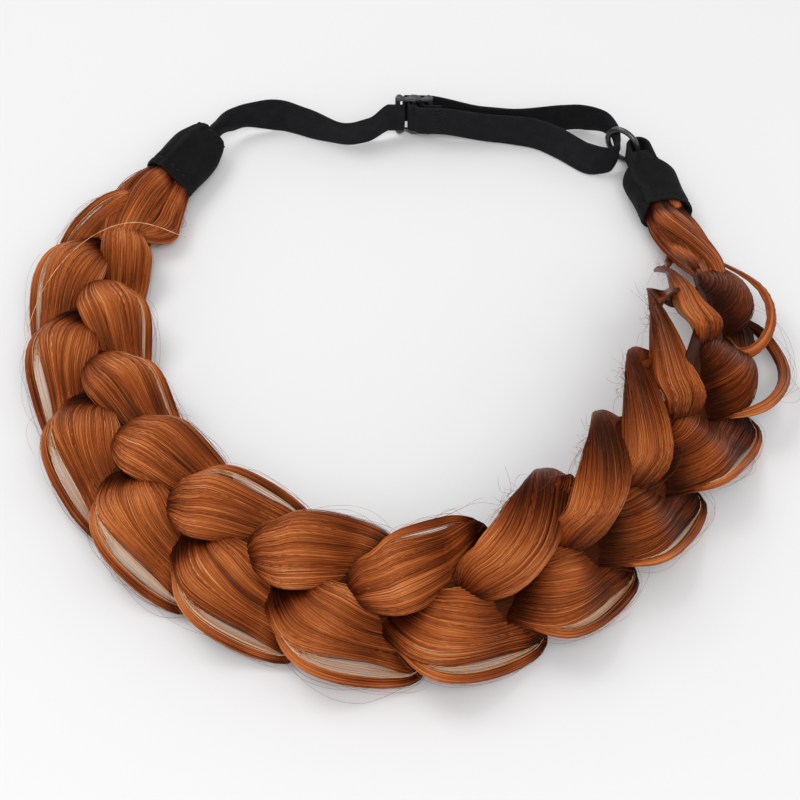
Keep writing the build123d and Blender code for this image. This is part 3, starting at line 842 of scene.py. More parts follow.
RIGHT_LOCK = np.array([
    (3, -1.0, 1.6, 3.4, 1.6),
    (8, -1.6, 2.4, 4.4, 2.2),
    (13, -1.6, 3.8, 5.0, 2.8),
    (20, 0.2, 4.6, 4.6, 2.6),
    (28, 2.4, 4.2, 3.4, 2.2),
    (35, 4.0, 2.6, 1.6, 1.0),
]) * 0.001
END_LOCKS = {
    "left_tuft": (LEFT_TUFT, True),
    "left_end_lock": (LEFT_LOCK, True),
    "right_end_lock": (RIGHT_LOCK, False),
}
lock_grain = 0.0022
bunch_grain = 0.0035
lock_layer = 3.0
bunch_layer = 7.0


def on_lock(table, from_end, at_left, angle, fill=1.0):
    """Points of a loose lock at a gathered end."""
    read = between(table[:, 0], table, from_end)
    across, up, half_width, half_thickness = np.moveaxis(read[..., 1:], -1, 0)
    s = from_end if at_left else braid_length - from_end
    across = across + fill * half_width * np.cos(angle)
    up = up + fill * half_thickness * np.sin(angle)
    return s, place(s, across, up)


for name, (table, at_left) in END_LOCKS.items():
    from_end = np.linspace(table[0, 0], table[-1, 0], 48)[:, None]
    angle = math.tau * np.arange(24)[None, :] / 24
    furrow = 1 + 0.06 * np.sin(7 * angle + 1.0) + 0.04 * np.sin(13 * angle + 3.0)
    s, points = on_lock(table, from_end, at_left, angle, furrow)
    piece = loft(name, above_table(points + to_frame))
    layer = np.full_like(points[..., 0], lock_layer)
    spots = np.stack([angle * lock_grain + 0 * s, s + 0 * angle, layer], -1)
    mark_loft(piece, "lock_place", spots)
    # Painted shade darkens the lock towards the sleeve's mouth, and its colour goes lighter and darker in
    # bands along it.
    lit = np.clip((from_end - 0.006) / 0.006, 0.3, 1) + 0.16 * np.sin(from_end * 210) + 0 * angle
    mark_loft(piece, "lock_shade", lit * 0.92)
    piece.data.materials.append(packed_hair)
    belongs(piece)

BUNCHES = {"left_bunch": (LEFT_BUNCH, True), "right_bunch": (RIGHT_BUNCH, False)}
for name, (table, at_left) in BUNCHES.items():
    from_end = np.linspace(table[0, 0], table[-1, 0], 60)[:, None]
    angle = math.tau * np.arange(32)[None, :] / 32
    furrow = 1 + 0.05 * np.sin(9 * angle + 1.0) + 0.04 * np.sin(16 * angle + 3.0)
    s, points = on_bunch(table, from_end, at_left, angle, furrow)
    piece = loft(name, above_table(points + to_frame))
    layer = np.full_like(points[..., 0], bunch_layer)
    spots = np.stack([angle * bunch_grain + 0 * s, s + 0 * angle, layer], -1)
    mark_loft(piece, "lock_place", spots)
    # Painted shade darkens the bunch towards the sleeve's mouth, and its colour goes lighter and darker in
    # bands along it.
    lit = np.clip((from_end - 0.007) / 0.006, 0.25, 1) + 0.15 * np.sin(from_end * 260) + 0 * angle
    mark_loft(piece, "lock_shade", lit * 0.86)
    piece.data.materials.append(packed_hair)
    belongs(piece)

# The single hairs of the strands. They lie over each lock from where it comes up to where it goes
# under, side by side, with a few out of line. Some run along the rim bundles, and a few thin ones
# cross the slits.
random = np.random.default_rng(11)
hair_steps = 20
over_hairs = 104
under_hairs = 40
bundle_hairs = 34
slit_hairs = 30
widest_crossed = 0.007
hair_radius = 0.00012
thin_hair_radius = 0.00006


def tubes(name, paths, radii, sides=3):
    """One mesh of thin tubes, closed at both ends, one along each path."""
    count, steps = paths.shape[:2]
    ways = np.gradient(paths, axis=1)
    ways /= np.maximum(np.linalg.norm(ways, axis=2, keepdims=True), 1e-9)
    aside = np.cross(ways[:, 0], np.array([0.31, 0.27, 0.91]))
    asides = np.empty_like(paths)
    for i in range(steps):
        aside = aside - np.sum(aside * ways[:, i], 1, keepdims=True) * ways[:, i]
        aside /= np.linalg.norm(aside, axis=1, keepdims=True)
        asides[:, i] = aside
    others = np.cross(ways, asides)
    taper = np.clip(np.minimum(np.arange(steps), np.arange(steps)[::-1]) / 2 + 0.35, 0, 1)
    thick = np.asarray(radii)[:, None] * taper[None, :]
    angle = math.tau * np.arange(sides) / sides
    around = np.cos(angle)[:, None] * asides[:, :, None] + np.sin(angle)[:, None] * others[:, :, None]
    points = paths[:, :, None] + thick[:, :, None, None] * around
    start = (np.arange(count)[:, None, None] * steps + np.arange(steps - 1)[:, None]) * sides
    here = start + np.arange(sides)
    beside = start + (np.arange(sides) + 1) % sides
    quads = np.stack([here, beside, beside + sides, here + sides], -1)
    fan = np.array([(0, k + 1, k) for k in range(1, sides - 1)])
    first = (np.arange(count) * steps * sides)[:, None, None]
    caps = np.concatenate([first + fan, first + (steps - 1) * sides + fan[:, ::-1]])
    return new_mesh(name, points.reshape(-1, 3), quads, caps)


def hair_piece(name, paths, radii, shades, spots):
    """One piece of single hairs, with what its material needs."""
    piece = tubes(name, above_table(paths + to_frame), radii)
    mark(piece, "lock_shade", np.repeat(shades.ravel(), 3))
    mark(piece, "lock_place", np.repeat(spots.reshape(-1, 3), 3, axis=0))
    piece.data.materials.append(single_hair)
    belongs(piece)
    triangles = sum(len(face.vertices) - 2 for face in piece.data.polygons)
    print(name, len(paths), "hairs", triangles, "triangles")
    return piece


def lock_hairs(number, half_turn, count, side):
    """Where the hairs of one lobe run, over it if side is 1 and under it if -1."""
    start = (half_turn - 0.20 if side > 0 else half_turn + 0.22) + random.normal(0, 0.03, count)
    length = random.uniform(0.88, 1.02, count)
    share = np.linspace(0, 1, hair_steps)
    turn = math.pi * (start[:, None] + length[:, None] * share)
    s = ((turn - strand_start) / math.tau - number / 3) * period
    lane = -1 + 2 * (np.arange(count) + random.uniform(0.1, 0.9, count)) / count
    drift = random.normal(0, 0.035, (count, 1)) * np.sin(math.pi * share + random.uniform(0, 3, (count, 1)))
    wild = random.uniform(0, 1, (count, 1)) < 0.06
    drift = drift + wild * random.normal(0, 0.16, (count, 1)) * (share - 0.5)
    wide = np.clip(lane[:, None] * 0.99 + drift, -1.01, 1.01)
    proud = np.abs(random.normal(0, 0.03, (count, 1))) + 0.02
    rise = side * (edge_shape(wide) * (0.96 + proud) + 0.02)
    return s, wide, rise


for number, node_name in enumerate(strand_nodes):
    first_turn = turn_of(number, 0.0)
    last_turn = turn_of(number, braid_length)
    batches = []
    for half_turn in range(math.floor(first_turn / math.pi) - 1, math.ceil(last_turn / math.pi) + 1):
        for side, count in ((1, over_hairs), (-1, under_hairs)):
            s, wide, rise = lock_hairs(number, half_turn, count, side)
            rim_side = np.sign(np.sin(turn_of(number, s)))
            back = held_back(number, s) * np.clip(wide * rim_side, 0, 1) ** 0.7
            batches.append((s, wide, rise, -back))
    s, wide, rise, slip = (np.concatenate(parts) for parts in zip(*batches))
    kept = (s.mean(1) > 0.004) & (s.mean(1) < braid_length - 0.004)
    s, wide, rise, slip = s[kept], wide[kept], rise[kept], slip[kept]
    paths = on_strand(number, s, wide, rise, slip)
    tints = random.uniform(0.84, 1.14, (len(s), 1))
    streak = random.normal(0, 0.0004, (len(s), 1))
    spots = np.stack([wide * strand_half_width + streak, s, np.full_like(s, number)], -1)
    radii = np.full(len(s), hair_radius)
    hair_piece(f"{node_name}_hairs", paths, radii, painted_light_and_shade(number, s, rise) * tints, spots)

    paths, radii, shades, spots = [], [], [], []
    for half_turn, middle_s in slit_lobes(number):
        share = np.linspace(0, 1, hair_steps) + random.normal(0, 0.03, (bundle_hairs, 1))
        angle = random.uniform(0, math.tau, (bundle_hairs, 1))
        angle = angle + random.normal(0, 0.5, (bundle_hairs, 1)) * share
        fill = 1.0 + np.abs(random.normal(0, 0.10, (bundle_hairs, 1)))
        s, points = on_bundle(number, half_turn, share, angle, fill)
        paths.append(points)
        radii.append(np.full(bundle_hairs, hair_radius))
        lit = painted_light_and_shade(number, s, np.ones_like(s)) / lobe_at(number, s)[4]
        shades.append(lit * random.uniform(0.8, 1.2, (bundle_hairs, 1)))
        layer = np.full_like(s, number + half_turn)
        spots.append(np.stack([np.cos(angle) * bundle_grain + 0 * s, s, layer], -1))
        slit, rim, out, back = lobe_at(number, middle_s)[:4]
        crossing = slit_hairs if slit + out < widest_crossed else 0
        share = np.linspace(0.04, 0.98, hair_steps) + random.normal(0, 0.03, (crossing, 1))
        s, slim = along_bundle(number, half_turn, share)
        rim_side = 1 if half_turn % 2 == 0 else -1
        spread = random.uniform(0, 1, (crossing, 1))
        bowed = np.sin(math.pi * np.clip(share, 0, 1)) ** 1.5 * (1 - spread)
        inward = rim * 0.8 + slit * 1.1 * spread * crescent_at(number, s) - out * bowed
        rise = random.normal(0, 0.25, (crossing, 1)) * np.ones_like(s)
        points = on_strand(number, s - back * bowed, rim_side * np.ones_like(s), rise, -inward)
        points[..., 2] = np.maximum(points[..., 2], rim_lowest - to_frame[2])
        paths.append(points)
        radii.append(np.full(crossing, thin_hair_radius))
        # The thin hairs across the slits get painted light: their high lock_shade makes them pale, as if lit
        # through.
        shades.append(random.uniform(1.6, 2.8, (crossing, 1)) + 0 * s)
        spots.append(np.stack([inward, s, np.full_like(s, number)], -1))
    if paths:
        hairs = [np.concatenate(parts) for parts in (paths, radii, shades, spots)]
        hair_piece(f"{node_name}_rim_hairs", *hairs)

# The hairs of the gathered ends. They run from inside each sleeve's mouth down over the bunch and
# its loose locks, and short curled ones stand off the left tuft.
bunch_hairs = 190
end_lock_hairs = 90
paths, radii, shades, spots = [], [], [], []
for table, at_left in BUNCHES.values():
    first = random.uniform(0.002, 0.014, (bunch_hairs, 1))
    reach = random.uniform(0.55, 1.0, (bunch_hairs, 1)) * (table[-1, 0] - 0.002)
    from_end = first + (reach - first) * np.linspace(0, 1, hair_steps)
    angle = random.uniform(0, math.tau, (bunch_hairs, 1)) + random.normal(0, 7, (bunch_hairs, 1)) * from_end
    fill = 1.01 + np.abs(random.normal(0, 0.05, (bunch_hairs, 1))) * np.clip((from_end - 0.009) / 0.01, 0, 1)
    s, points = on_bunch(table, from_end, at_left, angle, fill)
    paths.append(points)
    radii.append(np.full(bunch_hairs, hair_radius))
    # Painted shade darkens these hairs towards the sleeve's mouth.
    shades.append(np.clip((from_end - 0.007) / 0.006, 0.3, 1) * random.uniform(0.8, 1.2, (bunch_hairs, 1)))
    spots.append(np.stack([angle * bunch_grain, s, np.full_like(s, bunch_layer)], -1))
for table, at_left in END_LOCKS.values():
    count = end_lock_hairs
    first = random.uniform(0.003, 0.012, (count, 1))
    reach = random.uniform(0.75, 1.0, (count, 1)) * (table[-1, 0] + 0.004)
    from_end = first + (reach - first) * np.linspace(0, 1, hair_steps)
    angle = random.uniform(0, math.tau, (count, 1)) + random.normal(0, 9, (count, 1)) * from_end
    fill = 1.0 + np.abs(random.normal(0, 0.06, (count, 1))) * np.clip((from_end - 0.009) / 0.01, 0, 1)
    s, points = on_lock(table, from_end, at_left, angle, fill)
    paths.append(points)
    radii.append(np.full(count, hair_radius))
    # Painted shade darkens these hairs towards the sleeve's mouth.
    shades.append(np.clip((from_end - 0.006) / 0.006, 0.3, 1) * random.uniform(0.85, 1.35, (count, 1)))
    spots.append(np.stack([angle * lock_grain, s, np.full_like(s, lock_layer)], -1))
hair_piece("bunch_hairs", *(np.concatenate(parts) for parts in (paths, radii, shades, spots)))

frizz_hairs = 130
frizz_roots = [0.011, 0.013, 0.024, 0.031, 0.034]
share = np.linspace(0, 1, 10)
from_end = random.choice(frizz_roots, (frizz_hairs, 1)) + random.normal(0, 0.0015, (frizz_hairs, 1))
angle = random.uniform(0, math.tau, (frizz_hairs, 1)) + 0 * share
long = random.uniform(0.002, 0.006, (frizz_hairs, 1))
s, points = on_lock(LEFT_TUFT, from_end + long * share, True, angle, 0.95 + 0.25 * share)
curl = random.normal(0, 1, (frizz_hairs, 1, 3)) * (long * np.sin(3.5 * share) * share * 0.45)[..., None]
hair_piece("left_frizz", points + curl, np.full(frizz_hairs, thin_hair_radius), np.full_like(s, 1.0),
           np.stack([angle * lock_grain, s, np.full_like(s, lock_layer)], -1))

# The fly-away hairs. Single hairs have slipped out all along the rims: some bow out and come back,
# some end in the air, and short curled ones stand on the upright lobes at the right. One long hair
# lies in an arc over the left end.
flyaways_a_lobe = 7
flyaway_steps = 18
fuzz_a_lobe = 34
fuzz_steps = 10
fuzz_from = 0.27
fuzz_end_margin = 0.03
flyaway_radius = 0.000038
paths, shades, spots = [], [], []
for number in range(3):
    first = turn_of(number, 0.0) / math.pi
    for half_turn in range(math.ceil(first), math.floor(first + 2 * braid_length / period)):
        middle = half_turn + 0.5 + random.normal(0, 0.16, (flyaways_a_lobe, 1))
        long = random.uniform(0.15, 0.55, (flyaways_a_lobe, 1))
        share = np.linspace(0, 1, flyaway_steps)
        turn = math.pi * (middle + long * (share - 0.5))
        s = np.clip(((turn - strand_start) / math.tau - number / 3) * period, 0.012, braid_length - 0.012)
        rim_side = np.where(np.floor(middle) % 2 == 0, 1.0, -1.0)
        bow = random.gamma(2.0, 0.0007, (flyaways_a_lobe, 1))
        free = random.uniform(0, 1, (flyaways_a_lobe, 1)) < 0.4
        off = np.where(free, bow * 1.4 * share**2, bow * np.sin(math.pi * share))
        waver = random.normal(0, 0.0004, (flyaways_a_lobe, 1))
        waver = waver * np.sin(random.uniform(4, 9, (flyaways_a_lobe, 1)) * share)
        rise = random.normal(0, 0.5, (flyaways_a_lobe, 1)) * np.ones_like(s) * (1 + share)
        slip = (off + waver) * rim_side * np.sign(np.sin(turn_of(number, s)))
        paths.append(on_strand(number, s, rim_side * np.ones_like(s), rise, slip))
        shades.append(np.full_like(s, 0.95))
        spots.append(np.stack([off * 0.2 + number, s, np.full_like(s, number)], -1))
hair_piece("flyaway_hairs", np.concatenate(paths), np.full(sum(map(len, paths)), flyaway_radius),
           np.concatenate(shades), np.concatenate(spots))

paths, spots = [], []
for number in range(3):
    first = turn_of(number, 0.0) / math.pi
    for half_turn in range(math.ceil(first), math.floor(first + 2 * braid_length / period)):
        middle_s = (half_turn + 0.5 - first) * period / 2
        if half_turn % 2 == 0 or not fuzz_from <= middle_s <= braid_length - fuzz_end_margin:
            continue
        start = middle_s + random.normal(0, 0.0045, (fuzz_a_lobe, 1)) + np.zeros(fuzz_steps)
        rise = random.uniform(-1, 1, (fuzz_a_lobe, 1)) + 0 * start
        root = on_strand(number, start, -np.ones_like(start), rise * 0.6)
        share = np.linspace(0, 1, fuzz_steps)[None, :, None]
        out = random.normal(0, 1, (fuzz_a_lobe, 1, 3)) + np.array([-0.5, 0.2, 0.5])
        curl = random.normal(0, 1, (fuzz_a_lobe, 1, 3))
        long = random.uniform(0.0015, 0.0042, (fuzz_a_lobe, 1, 1))
        paths.append(root + long * (out * share * 0.6 + curl * 0.5 * np.sin(4.0 * share) * share))
        spots.append(np.stack([start * 0.5, start, start], -1))
hair_piece("rim_fuzz", np.concatenate(paths), np.full(sum(map(len, paths)), flyaway_radius),
           np.full(np.concatenate(spots).shape[:2], 0.85), np.concatenate(spots))

share = np.linspace(0, 1, 60)[None, :]
arc_s = 0.088 + (0.024 - 0.088) * share
arc = place(arc_s, 0.014 - 0.034 * share, 0.007 + 0.012 * np.sin(math.pi * share))
hair_piece("long_stray_hair", arc, np.array([0.00014]), np.full((1, 60), 1.9),
           np.stack([share * 0.001, arc_s, share], -1))

# The left sleeve. It is a short flat tube of black brushed jersey, folded to a double layer, sewn
# round the hair at its mouth and round the elastic at its narrow end. The cloth is creased along
# one side, and puckers at the row of stitches behind the hem.
sleeve_length = 0.027
sleeve_thickness = 0.0094
sleeve_wall = 0.0012
hem_depth = 0.0030
lining_depths = (0.002, 0.005, 0.008)
stitch_step = 0.0024
stitch_radius = 0.00019
sleeve_corners = 96

# Each row is a depth, as a share of the sleeve's length, and its width and thickness there, as
# shares of those at the mouth.
LEFT_SLEEVE = np.array([
    (0.00, 1.00, 1.00),
    (0.20, 0.99, 0.98),
    (0.45, 1.00, 0.90),
    (0.66, 0.98, 0.80),
    (0.82, 0.82, 0.70),
    (0.94, 0.66, 0.58),
    (1.00, 0.53, 0.42),
    (1.015, 0.46, 0.22),
])


def sleeve_frame(s, sign):
    """A sleeve's mouth, the way it points, its wide way and its thick way."""
    spot = {name: float(value) for name, value in spine_at(np.array(s)).items()}
    out = np.array([spot["out_x"], spot["out_y"], 0.0])
    axis = np.array([-out[1], out[0], 0.0]) * sign
    wide = out * math.sin(spot["tilt"]) - np.array([0, 0, math.cos(spot["tilt"])])
    thick = np.cross(axis, wide)
    return np.array([spot["x"], spot["y"], spot["z"]]), axis, wide, thick / np.linalg.norm(thick)


def flat_ring(angle, width, thickness):
    """A flattened tube's outline, as shares along its wide and its thick way."""
    wide = np.sign(np.cos(angle)) * np.abs(np.cos(angle)) ** 0.62 * width / 2
    thick = np.sign(np.sin(angle)) * np.abs(np.sin(angle)) ** 0.80 * thickness / 2
    return wide, thick


def cloth_relief(angle, depth, crease, seed):
    """How far the cloth stands out or in, from its crease, its puckers and its soft wrinkles."""
    near_mouth = np.exp(-((depth / 0.005) ** 2))
    fold = np.exp(-(((angle - crease) / 0.11) ** 2)) - 0.6 * np.exp(-(((angle - crease - 0.26) / 0.16) ** 2))
    pucker = np.sin(17 * angle + seed) * np.sin(5 * angle + 2 * seed)
    soft = np.sin(3 * angle + 190 * depth + seed) + 0.6 * np.sin(5 * angle - 330 * depth + 2.1 * seed)
    drag = np.sin(2.2 * angle + 520 * depth + 1.3 * seed) * np.clip(depth / 0.02, 0, 1)
    hem = np.exp(-(((depth - hem_depth) / 0.0005) ** 2))
    relief = 0.00055 * fold + 0.00012 * pucker * near_mouth + 0.00013 * soft + 0.00010 * drag
    return relief - 0.00028 * hem * (1 + 0.4 * pucker)


def cloth_material(name, colour, thread, relief, wear):
    """Black cloth: threads over and under at their real pitch, brushed and paler where rubbed."""
    material, tree, shader = new_material(name)
    spot = tree.nodes.new("ShaderNodeAttribute")
    spot.attribute_name = "cloth_place"
    parts = tree.nodes.new("ShaderNodeSeparateXYZ")
    tree.links.new(spot.outputs["Vector"], parts.inputs[0])
    around = reckon(tree, "SINE", reckon(tree, "MULTIPLY", parts.outputs[0], math.tau / thread[0]))
    along = reckon(tree, "SINE", reckon(tree, "MULTIPLY", parts.outputs[1], math.tau / thread[1]))
    weave = reckon(tree, "MULTIPLY", around, along)
    fuzz = stretched_noise(tree, "cloth_place", (2600, 2600, 2600), 3.0)
    patches = stretched_noise(tree, "cloth_place", (260, 260, 260), 3.0)
    height = reckon(tree, "MULTIPLY_ADD", weave, 0.35, fuzz)
    rubbed = reckon(tree, "MULTIPLY", kept_value(tree, "cloth_wear"), wear)
    tone = reckon(tree, "MULTIPLY_ADD", patches, 0.5, reckon(tree, "MULTIPLY_ADD", height, 0.28, rubbed))
    dark = tuple(0.45 * part for part in colour)
    pale = tuple(2.6 * part for part in colour)
    tones = ramp(tree, tone, [(0.22, dark), (0.46, colour), (0.85, pale)])
    tree.links.new(tones, shader.inputs["Base Color"])
    raised(tree, shader, height, relief, 0.8)
    shader.inputs["Roughness"].default_value = 0.88
    shader.inputs["Specular IOR Level"].default_value = 0.15
    shader.inputs["Sheen Weight"].default_value = 0.03
    shader.inputs["Sheen Roughness"].default_value = 0.5
    shader.inputs["Sheen Tint"].default_value = (0.75, 0.75, 0.80, 1)
    return material


jersey = cloth_material("black_jersey", (0.0048, 0.0048, 0.0052), (0.0009, 0.0007), 0.00020, 0.30)
thread_cloth = cloth_material("black_thread", (0.016, 0.016, 0.017), (0.0004, 0.0004), 0.00006, 0.20)


def make_sleeve(name, skins, depths, angle, crease, seed, origin_of):
    """A sleeve of cloth: its outer skin, its rolled lip and its lining back to the hair."""
    centres = origin_of(depths)
    away = skins - centres[:, None]
    away /= np.linalg.norm(away, axis=2, keepdims=True)
    relief = cloth_relief(angle[None, :], depths[:, None], crease, seed)
    skins = skins + away * relief[..., None]
    lip = skins[0]
    inward = (centres[0] - lip) / np.linalg.norm(centres[0] - lip, axis=1, keepdims=True)
    back = (centres[0] - centres[1]) / np.linalg.norm(centres[0] - centres[1])
    wall = sleeve_wall * 0.9
    roll = [lip + inward * wall * (0.5 - 0.5 * math.cos(t)) + back * wall * 0.45 * math.sin(t)
            for t in (math.pi * k / 6 for k in range(1, 7))]
    lining = [roll[-1] - back * deep for deep in lining_depths]
    rings = np.stack(lining[::-1] + roll[::-1] + list(skins))
    piece = loft(name, above_table(rings + to_frame))
    around = np.concatenate([[0], np.cumsum(np.linalg.norm(np.diff(lip, axis=0), axis=1))])
    inside = len(lining) + len(roll)
    lengths = np.concatenate([-0.009 + 0.009 * np.arange(inside) / inside, depths])
    flat = np.stack(np.broadcast_arrays(around[None, :], lengths[:, None], 0.0), -1)
    mark_loft(piece, "cloth_place", flat)
    wear = np.concatenate([np.zeros((inside, len(angle))), np.clip(relief / 0.0005, 0, 1)])
    wear[inside - 3:inside + 1] = 0.8
    mark_loft(piece, "cloth_wear", wear)
    piece.data.materials.append(jersey)
    return piece, skins


def stitch_row(name, ring, outward, way, slant=0.25):
    """A row of short threads along a closed ring of points, each with both ends in the cloth."""
    steps = np.linalg.norm(np.roll(ring, -1, axis=0) - ring, axis=1)
    walked = np.concatenate([[0], np.cumsum(steps)])
    closed = np.concatenate([ring, ring[:1]])
    closed_out = np.concatenate([outward, outward[:1]])
    count = int(walked[-1] / stitch_step)
    share = np.linspace(0, 1, 7)
    paths = []
    for k in range(count):
        spots = (k + 0.12 + 0.62 * share) * walked[-1] / count
        line = np.stack([np.interp(spots, walked, closed[:, axis]) for axis in range(3)], -1)
        out = np.stack([np.interp(spots, walked, closed_out[:, axis]) for axis in range(3)], -1)
        lift = 0.00028 * np.sin(math.pi * share)[:, None] - 0.00010
        paths.append(line + out * lift + way * (share[:, None] - 0.5) * slant * stitch_step)
    paths = np.array(paths)
    piece = tubes(name, above_table(paths + to_frame), np.full(len(paths), stitch_radius), sides=6)
    mark(piece, "cloth_place", np.array([vertex.co for vertex in piece.data.vertices]))
    mark(piece, "cloth_wear", np.full(len(piece.data.vertices), 0.5))
    piece.data.materials.append(thread_cloth)
    belongs(piece)
    return piece


def stitches_round(name, skin, middle, row, way):
    """A row of stitches round a sleeve, in its outer skin."""
    outward = skin[row] - middle[row]
    outward /= np.linalg.norm(outward, axis=1, keepdims=True)
    stitch_row(name, skin[row], outward, way)


left_mouth, left_axis, left_wide, left_thick = sleeve_frame(hair_tuck, -1)
angle = math.tau * np.arange(sleeve_corners) / sleeve_corners
depth_share = np.concatenate([np.linspace(0, 0.94, 44), np.linspace(0.95, 1.015, 9)])
sizes = between(LEFT_SLEEVE[:, 0], LEFT_SLEEVE, depth_share)
wide, thick = flat_ring(angle[None, :], sleeve_width * sizes[:, 1:2], sleeve_thickness * sizes[:, 2:3])
depths = depth_share * sleeve_length


def left_middle(depth):
    """The middle line of the left sleeve."""
    return left_mouth + left_axis * depth[:, None]


skins = left_middle(depths)[:, None] + wide[..., None] * left_wide + thick[..., None] * left_thick
left_sleeve, left_skin = make_sleeve("left_sleeve", skins, depths, angle, 1.05, 0.7, left_middle)
belongs(left_sleeve, "left_tab")
for name, share in (("left_hem_stitches", hem_depth / sleeve_length), ("left_end_stitches", 0.93)):
    row = np.argmin(np.abs(depth_share - share))
    stitches_round(name, left_skin, left_middle(depths), row, left_axis)

# The right sleeve. It is the same cloth tube round the hair's other end. Above the hair it turns
# level and narrows to a neck, and a band of the same cloth goes from the neck round the ring.
strap_lift = 0.0001
ring_radius = 0.0062
ring_wire_radius = 0.00095
ring_turn = math.radians(-38)
ring_z = ring_radius + ring_wire_radius + strap_lift
band_height = 1.22 * ring_radius
band_inside = 0.003
band_thickness = 0.0012
band_run = 0.0034
right_mouth, right_axis, right_wide, right_thick = sleeve_frame(braid_length - hair_tuck, 1)
up_way = np.array([0.0, 0.0, 1.0])
level_wide = np.cross(right_axis, up_way)
level_wide = level_wide if level_wide @ right_wide > 0 else -level_wide
level_thick = up_way if np.cross(right_axis, level_wide)[2] > 0 else -up_way
drop = ring_z - right_mouth[2]
mouth_arch = 0.0045

# Each row is a depth, a width and a thickness, as at the left, and how far the sleeve has turned
# level and come to the ring's height, as shares.
RIGHT_SLEEVE = np.array([
    (0.00, 1.00, 1.00, 0, 0),
    (0.18, 1.00, 0.98, 0, 0),
    (0.35, 1.00, 0.93, 0.1, 0.02),
    (0.55, 1.05, 0.88, 0.7, 0.18),
    (0.68, 1.02, 0.84, 1, 0.34),
    (0.80, 0.84, 0.80, 1, 0.62),
    (0.90, 0.58, 0.80, 1, 0.90),
    (0.97, 0.46, 0.79, 1, 1),
    (1.02, 0.44, 0.76, 1, 1),
])
depth_share = np.linspace(0, 1.02, 54)
sizes = between(RIGHT_SLEEVE[:, 0], RIGHT_SLEEVE, depth_share)
depths = depth_share * sleeve_length


def right_middle(depth):
    """The middle line of the right sleeve, which rises or drops to the ring's height."""
    dropped = between(RIGHT_SLEEVE[:, 0], RIGHT_SLEEVE[:, 4:5], depth / sleeve_length)
    return right_mouth + right_axis * depth[:, None] + up_way * drop * dropped


level = sizes[:, 3:4]
wide_way = right_wide * (1 - level) + level_wide * level
thick_way = right_thick * (1 - level) + level_thick * level
wide_way /= np.linalg.norm(wide_way, axis=1, keepdims=True)
thick_way /= np.linalg.norm(thick_way, axis=1, keepdims=True)
wide, thick = flat_ring(angle[None, :], sleeve_width * sizes[:, 1:2], sleeve_thickness * sizes[:, 2:3])
skins = right_middle(depths)[:, None] + wide[..., None] * wide_way[:, None]
skins = skins + thick[..., None] * thick_way[:, None]
seen_side = math.copysign(1, thick_way[0] @ (0, -0.64, 0.77))
arch = mouth_arch * (1 - np.cos(angle) ** 2) * (np.sin(angle) * seen_side > 0)
skins = skins + right_axis * (arch[None, :] * (1 - np.clip(depth_share / 0.5, 0, 1)[:, None]) ** 2)[..., None]
right_sleeve, right_skin = make_sleeve("right_sleeve", skins, depths, angle, 4.2, 2.3, right_middle)
belongs(right_sleeve, "right_tab")
for name, share in (("right_hem_stitches", hem_depth / sleeve_length), ("right_neck_stitches", 0.86)):
    row = np.argmin(np.abs(depth_share - share))
    stitches_round(name, right_skin, right_middle(depths), row, right_axis)

wire_right = right_mouth + right_axis * (sleeve_length + band_run)
wire_right[2] = ring_z
band_middle = band_inside + band_thickness / 2
leg = np.linspace(sleeve_length * 0.88, sleeve_length + band_run, 14)[:, None]
round_it = np.linspace(-math.pi / 2, math.pi / 2, 22)[1:-1, None]
first_leg = right_mouth * (1, 1, 0) + right_axis * leg - level_wide * band_middle
bow = wire_right * (1, 1, 0) + band_middle * (right_axis * np.cos(round_it) + level_wide * np.sin(round_it))
last_leg = (right_mouth * (1, 1, 0) + right_axis * leg + level_wide * band_middle)[::-1]
path = np.concatenate([first_leg, bow, last_leg])
way = np.gradient(path, axis=0)
way /= np.linalg.norm(way, axis=1, keepdims=True)
aside = np.cross(way, up_way)
edge = math.tau * np.arange(28) / 28
high = np.sign(np.sin(edge)) * np.abs(np.sin(edge)) ** 0.35 * band_height / 2
flat = np.sign(np.cos(edge)) * np.abs(np.cos(edge)) ** 0.6 * band_thickness / 2
flat = flat * (1 + 0.25 * np.exp(-(((np.abs(high) - band_height * 0.42) / 0.0005) ** 2)))
rings = path[:, None] + aside[:, None] * flat[None, :, None] + up_way * (high[None, :, None] + ring_z)
band = loft("right_band", rings + to_frame)
travelled = np.concatenate([[0], np.cumsum(np.linalg.norm(np.diff(path, axis=0), axis=1))])
mark_loft(band, "cloth_place", np.stack(np.broadcast_arrays(high[None, :], travelled[:, None], 0.0), -1))
band_wear = (np.abs(high) > band_height * 0.45) * 0.8
mark_loft(band, "cloth_wear", np.broadcast_to(band_wear, rings.shape[:2]).astype(float))
band.data.materials.append(jersey)
belongs(band)

# The elastic. It is one 12 mm band of black woven elastic, which lies on its edge: from inside the
# left sleeve through the slider, along the back to the ring, through the ring, and forward again
# to the slider, where its end is folded round the middle bar and sewn down.
strap_width = 0.012
strap_thickness = 0.0011
strap_straight = 0.0035
strap_tuck = 0.005
fit_gap = 0.0003
slider_bar = 0.0018
slider_window = 0.0038
slider_rail = 0.0021
slider_edge_gap = 0.0004
slider_turn = 0.0007
strap_gather = 0.42
slider_height = strap_width + 2 * slider_edge_gap + 2 * slider_rail
slider_length = 3 * slider_bar + 2 * slider_window
slider_z = slider_height / 2 + strap_lift
strap_z = strap_width / 2 + strap_lift
ring_gather = band_height / strap_width
ring_way = np.array([math.cos(ring_turn), math.sin(ring_turn), 0.0])
ring_centre = wire_right - ring_way * ring_radius
strap_exit = (left_mouth + left_axis * sleeve_length) * (1, 1, 0)
chord = ring_centre * (1, 1, 0) - strap_exit
chord_way = chord / np.linalg.norm(chord)
chord_side = np.array([-chord_way[1], chord_way[0], 0.0])
sleeve_side = np.array([-left_axis[1], left_axis[0], 0.0])
exit_lean = math.degrees(math.atan2(left_wide @ sleeve_side, left_wide[2]))

